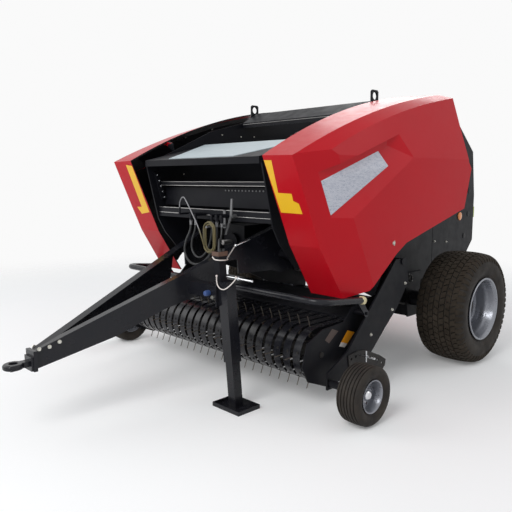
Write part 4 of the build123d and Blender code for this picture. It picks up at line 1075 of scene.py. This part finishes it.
def chain_drive():
    """Roller chain round two sprockets on the left wall, behind the guard."""
    wheels = Shape()
    for angle in SPROCKETS:
        sprocket(wheels, facing(at(CHAIN_X, *roller_spot(angle)), (1, 0, 0)))
    wheels.piece("sprockets", "chassis", steel, "steel", smooth=30)
    spots, pitch = chain_pins(chain_line())
    half_link = [polar(0.0055, a) for a in circle(9, pi / 2)[:5]]
    link = half_link + [(pitch - u, -v) for u, v in half_link]
    chain = Shape()
    for i, (y, z) in enumerate(spots):
        next_y, next_z = spots[(i + 1) % len(spots)]
        chain.disc(0.0048, -0.0065, 0.0065, facing(at(CHAIN_X, y, z), (1, 0, 0)), 10)
        c, s = polar(1.0, atan2(next_z - z, next_y - y))
        outline = [(y + u * c - v * s, z + u * s + v * c) for u, v in link]
        for side in (-1, 1):
            middle = CHAIN_X + side * (0.0046 if i % 2 else 0.0062)
            chain.prism(outline, middle - 0.0007, middle + 0.0007, SIDE_ON)
    chain.piece("drive_chain", "chassis", steel, "steel", smooth=30)


def wall_bolts():
    """Bolts outside and inside the walls, and inside the guards' tops."""
    wall = ((-0.298, 0.890), (-0.16, 0.50), (0.06, 0.46))
    gate = ((0.352, 0.867), (0.562, 0.848), (0.45, 0.60))
    inner = ((-1.009, 1.771), (-0.793, 1.765), (-0.638, 1.772), (-1.416, 1.448), (-1.39, 1.385))
    top = ((-1.091, 1.7625), (-0.7725, 1.855))
    for hand, out in SIDES:
        guard = f"guard_{hand}"
        side_bolts(f"wall_bolts_{hand}", "chassis", "chamber_walls", out * 0.90, -out, wall, 0.008, 0.004)
        side_bolts(f"gate_bolts_{hand}", "tailgate", "tailgate_walls", out * 0.90, -out, gate, 0.008, 0.004)
        side_bolts(f"inner_bolts_{hand}", "chassis", "chamber_walls", 0, out, inner, 0.0055)
        side_bolts(f"guard_bolts_{hand}", guard, guard, out * 0.80, out, top, 0.007)


def valve_block():
    """The valve's plate on the right wall, and its row of fittings."""
    back, face, drop = -0.6045, -0.590, 0.042
    block, ends = Shape(), Shape()
    outline = [(-1.700, 1.455), (-1.660, 1.465), (-1.600, 1.262), (-1.640, 1.250)]
    block.prism(outline, back, face, SIDE_ON)
    block.piece("valve_plate", "chassis", black, "black_paint", edges=0.001)
    for i in range(5):
        spot = facing(at(face, -1.676 + 0.0145 * i, 1.440 - drop * i), (1, 0, 0))
        ends.disc(0.009, 0.0, 0.008, spot, 6)
        ends.disc(0.0055, 0.008, 0.014, spot, 14)
    ends.piece("valve_fittings", "chassis", chrome, "steel")


def tail_details():
    """Lenses in the lamp boxes, reflectors on the tailgate's sides and rear, and the skin's bolts."""
    lenses = (
        ("stop", 0.520, 0.030, lamp_red), ("turn", 0.455, 0.026, orange), ("side", 0.397, 0.018, lamp_clear),
    )
    behind, reflector_half = 1.40, 0.032
    for hand, out in SIDES:
        for label, x, r, material in lenses:
            dome = [(0.0035, r * 0.98), (0.006, r * 0.8), (0.0065, r * 0.5), (0.0060, r * 0.3)]
            place = facing(*hit("tail_lamps", at(out * x, behind, 0.90), (0, -1, 0)))
            lens = Shape()
            lens.lathe([(-0.001, r)] + dome + [(0.0068, 0.0)], place, 40)
            lens.piece(f"lens_{label}_{hand}", "tailgate", material, "lamp_plastic", smooth=50)
        disc = Shape()
        disc.lathe([(0.0, 0.036), (0.006, 0.036), (0.008, 0.032), (0.0085, 0.0)],
                   facing(at(out * WALL_OUT, 0.796, 1.064), (out, 0, 0)), 40)
        disc.piece(f"side_reflector_{hand}", "tailgate", orange, "lamp_plastic", smooth=40)
        glass = Shape()
        x0, x1 = out * 0.585 - reflector_half, out * 0.585 + reflector_half
        glass.box((x0, AXLE + 1.0705, 1.041), (x1, AXLE + 1.088, 1.141))
        glass.piece(f"rear_reflector_{hand}", "tailgate", lime, "lamp_plastic", edges=0.003)
    heads = [at(x, behind, z) for z in (0.62, 1.32, 1.60) for x in (-0.56, -0.28, 0.0, 0.28, 0.56)]
    bolts_on("skin_bolts", "tailgate", "tailgate_skin", heads, (0, -1, 0), 0.007)


bearings()
chain_drive()
wall_bolts()
valve_block()
tail_details()

# ---------------------------------------------------------------- front beam, drawbar and jack


def edge_highlight_rods():
    """Thin steel rods along the edges of the plates across the front and of the top bridge: painted highlights
    where those edges catch the light, partly their worn bare metal.
    """
    half_width = 0.600
    edges = Shape()
    # each rod paints the highlight of one edge
    lines = ((-1.6405, 1.3625, 0.0022), (-1.6405, 1.3895, 0.0022), (-1.6555, 1.1985, 0.0020),
             (-1.6555, 1.160, 0.0020), (-0.7760, 1.868, 0.0020))
    for y, z, radius in lines:
        edges.tube([at(x, y, z) for x in (-half_width, half_width)], radius, 8)
    edges.piece("edge_highlight_rods", "chassis", steel, "steel")


def hose_ferrules():
    ferrules = Shape()
    for x, r in ((-0.090, 0.0108), (0.186, 0.0108), (-0.040, 0.0092), (0.135, 0.0092), (0.235, 0.0092)):
        place = facing(at(x, ELBOW_Y, ELBOW_LOW + 0.002), (0, 0, -1))
        ferrules.disc(r + 0.0015, -0.006, 0.006, place, 6)
        ferrules.lathe([(0.006, r - 0.002), (0.006, r), (0.012, r + 0.0006), (0.016, r - 0.0006),
                        (0.022, r + 0.0006), (0.028, r), (0.028, r - 0.002)], place, 24)
    ferrules.piece("ferrules", "chassis", dark_zinc, "steel", edges=0.0004)


def jack_pins():
    """The jack's two pins, one with a collar and one with a round head."""
    pin = Shape()
    pin.tube([at(0.529, -1.990, 0.834), at(0.770, -1.990, 0.831)], 0.0062, 14)
    pin.collar(0.0, 0.010, 0.0, 0.012, facing(at(0.640, -1.990, 0.8325), (1, 0, 0)), 20)
    lying = [at(0.302, -1.690, 0.9735), at(0.318, -1.640, 0.9930), at(0.334, -1.590, 1.0125)]
    pin.tube(lying, 0.0075, 14)
    head_radius, back = 0.011, 3.1
    head = [polar(head_radius, a) for a in (0.0, 0.6, 1.2, 1.8, 2.4)]
    pin.lathe(head + [(head_radius * cos(back), 0.0)], facing(lying[0], (0, -1, 0)), 20)
    pin.piece("jack_pins", "chassis", chrome, "steel", smooth=50)


def jack_tethers():
    """Two plastic lines that keep the pins on the machine, with a ball where they are tied."""
    low = [(0.512, -2.036, 0.838), (0.511, -2.035, 0.806), (0.525, -2.037, 0.778), (0.552, -2.038, 0.764),
           (0.583, -2.036, 0.766), (0.609, -2.026, 0.784), (0.622, -2.012, 0.803), (0.636, -2.001, 0.824),
           (0.640, -1.998, 0.840)]
    high = [(0.474, -2.030, 0.945), (0.500, -2.041, 0.936), (0.538, -2.036, 0.934), (0.542, -1.995, 0.931),
            (0.522, -1.955, 0.929), (0.478, -1.920, 0.929), (0.430, -1.865, 0.933), (0.377, -1.800, 0.944),
            (0.336, -1.745, 0.956), (0.303, -1.697, 0.972)]
    cord_radius, ball_radius = 0.0034, 0.0065
    wires = Shape()
    for line in (low, high):
        wires.tube(smooth_line([at(*p) for p in line]), cord_radius, 10)
    ball = [polar(ball_radius, pi * k / 8) for k in range(9)]
    for spot in (low[0], low[-1], high[0]):
        wires.lathe(ball, facing(at(*spot), (0, 0, 1)), 16)
    wires.piece("jack_tethers", "chassis", white_film, "rubber", smooth=60)


def holder_details():
    """The worn band round the hose holder's top, and the couplings that stand in it."""
    x0, x1, y0, y1, wall = 0.4690, 0.5310, -2.0360, -1.9640, 0.0008
    outer = [(x0, y0), (x1, y0), (x1, y1), (x0, y1)]
    inner = [(x0 + wall, y0 + wall), (x1 - wall, y0 + wall), (x1 - wall, y1 - wall), (x0 + wall, y1 - wall)]
    band = Shape()
    band.sheet(outer, [inner], 0.955, 0.982, Matrix.Translation((0.0, AXLE, 0.0)))
    band.piece("holder_rust", "chassis", rust, "steel", smooth=0)
    profile = [(0.0, 0.0), (0.0, 0.010), (0.016, 0.0105), (0.022, 0.0085), (0.034, 0.0080), (0.036, 0.0)]
    caps = Shape()
    for x, y in ((0.486, -1.985), (0.515, -2.012), (0.516, -1.984)):
        caps.lathe(profile, facing(at(x, y, 0.962), (0, 0, 1)), 20)
    caps.piece("holder_couplings", "chassis", hose, "rubber", smooth=40)


def arm_cap():
    """The blue dust cap on the jack's arm, and the nut beside it."""
    cap, nut = Shape(), Shape()
    profile = [(-0.001, 0.0), (-0.001, 0.017), (0.022, 0.0175), (0.034, 0.0145), (0.038, 0.0)]
    cap.lathe(profile, facing(*hit("jack_arm", at(0.425, -2.30, 0.722), (0, 1, 0))), 28)
    cap.piece("dust_cap", "chassis", blue_cap, "rubber", smooth=40)
    nut.disc(0.012, -0.001, 0.012, facing(*hit("jack_arm", at(0.465, -2.30, 0.700), (0, 1, 0))), 6)
    nut.piece("dust_cap_nut", "chassis", zinc, "steel")


def drawbar_bolts():
    spots = ((-2.925, 0.475), (-2.870, 0.480), (-2.815, 0.500), (-1.290, 1.02), (-1.290, 1.09))
    for hand, out in SIDES:
        side_bolts(f"drawbar_bolts_{hand}", "chassis", "drawbar", out * 0.5, -out, spots, 0.010, 0.006)


edge_highlight_rods()
hose_ferrules()
jack_pins()
jack_tethers()
holder_details()
arm_cap()
drawbar_bolts()
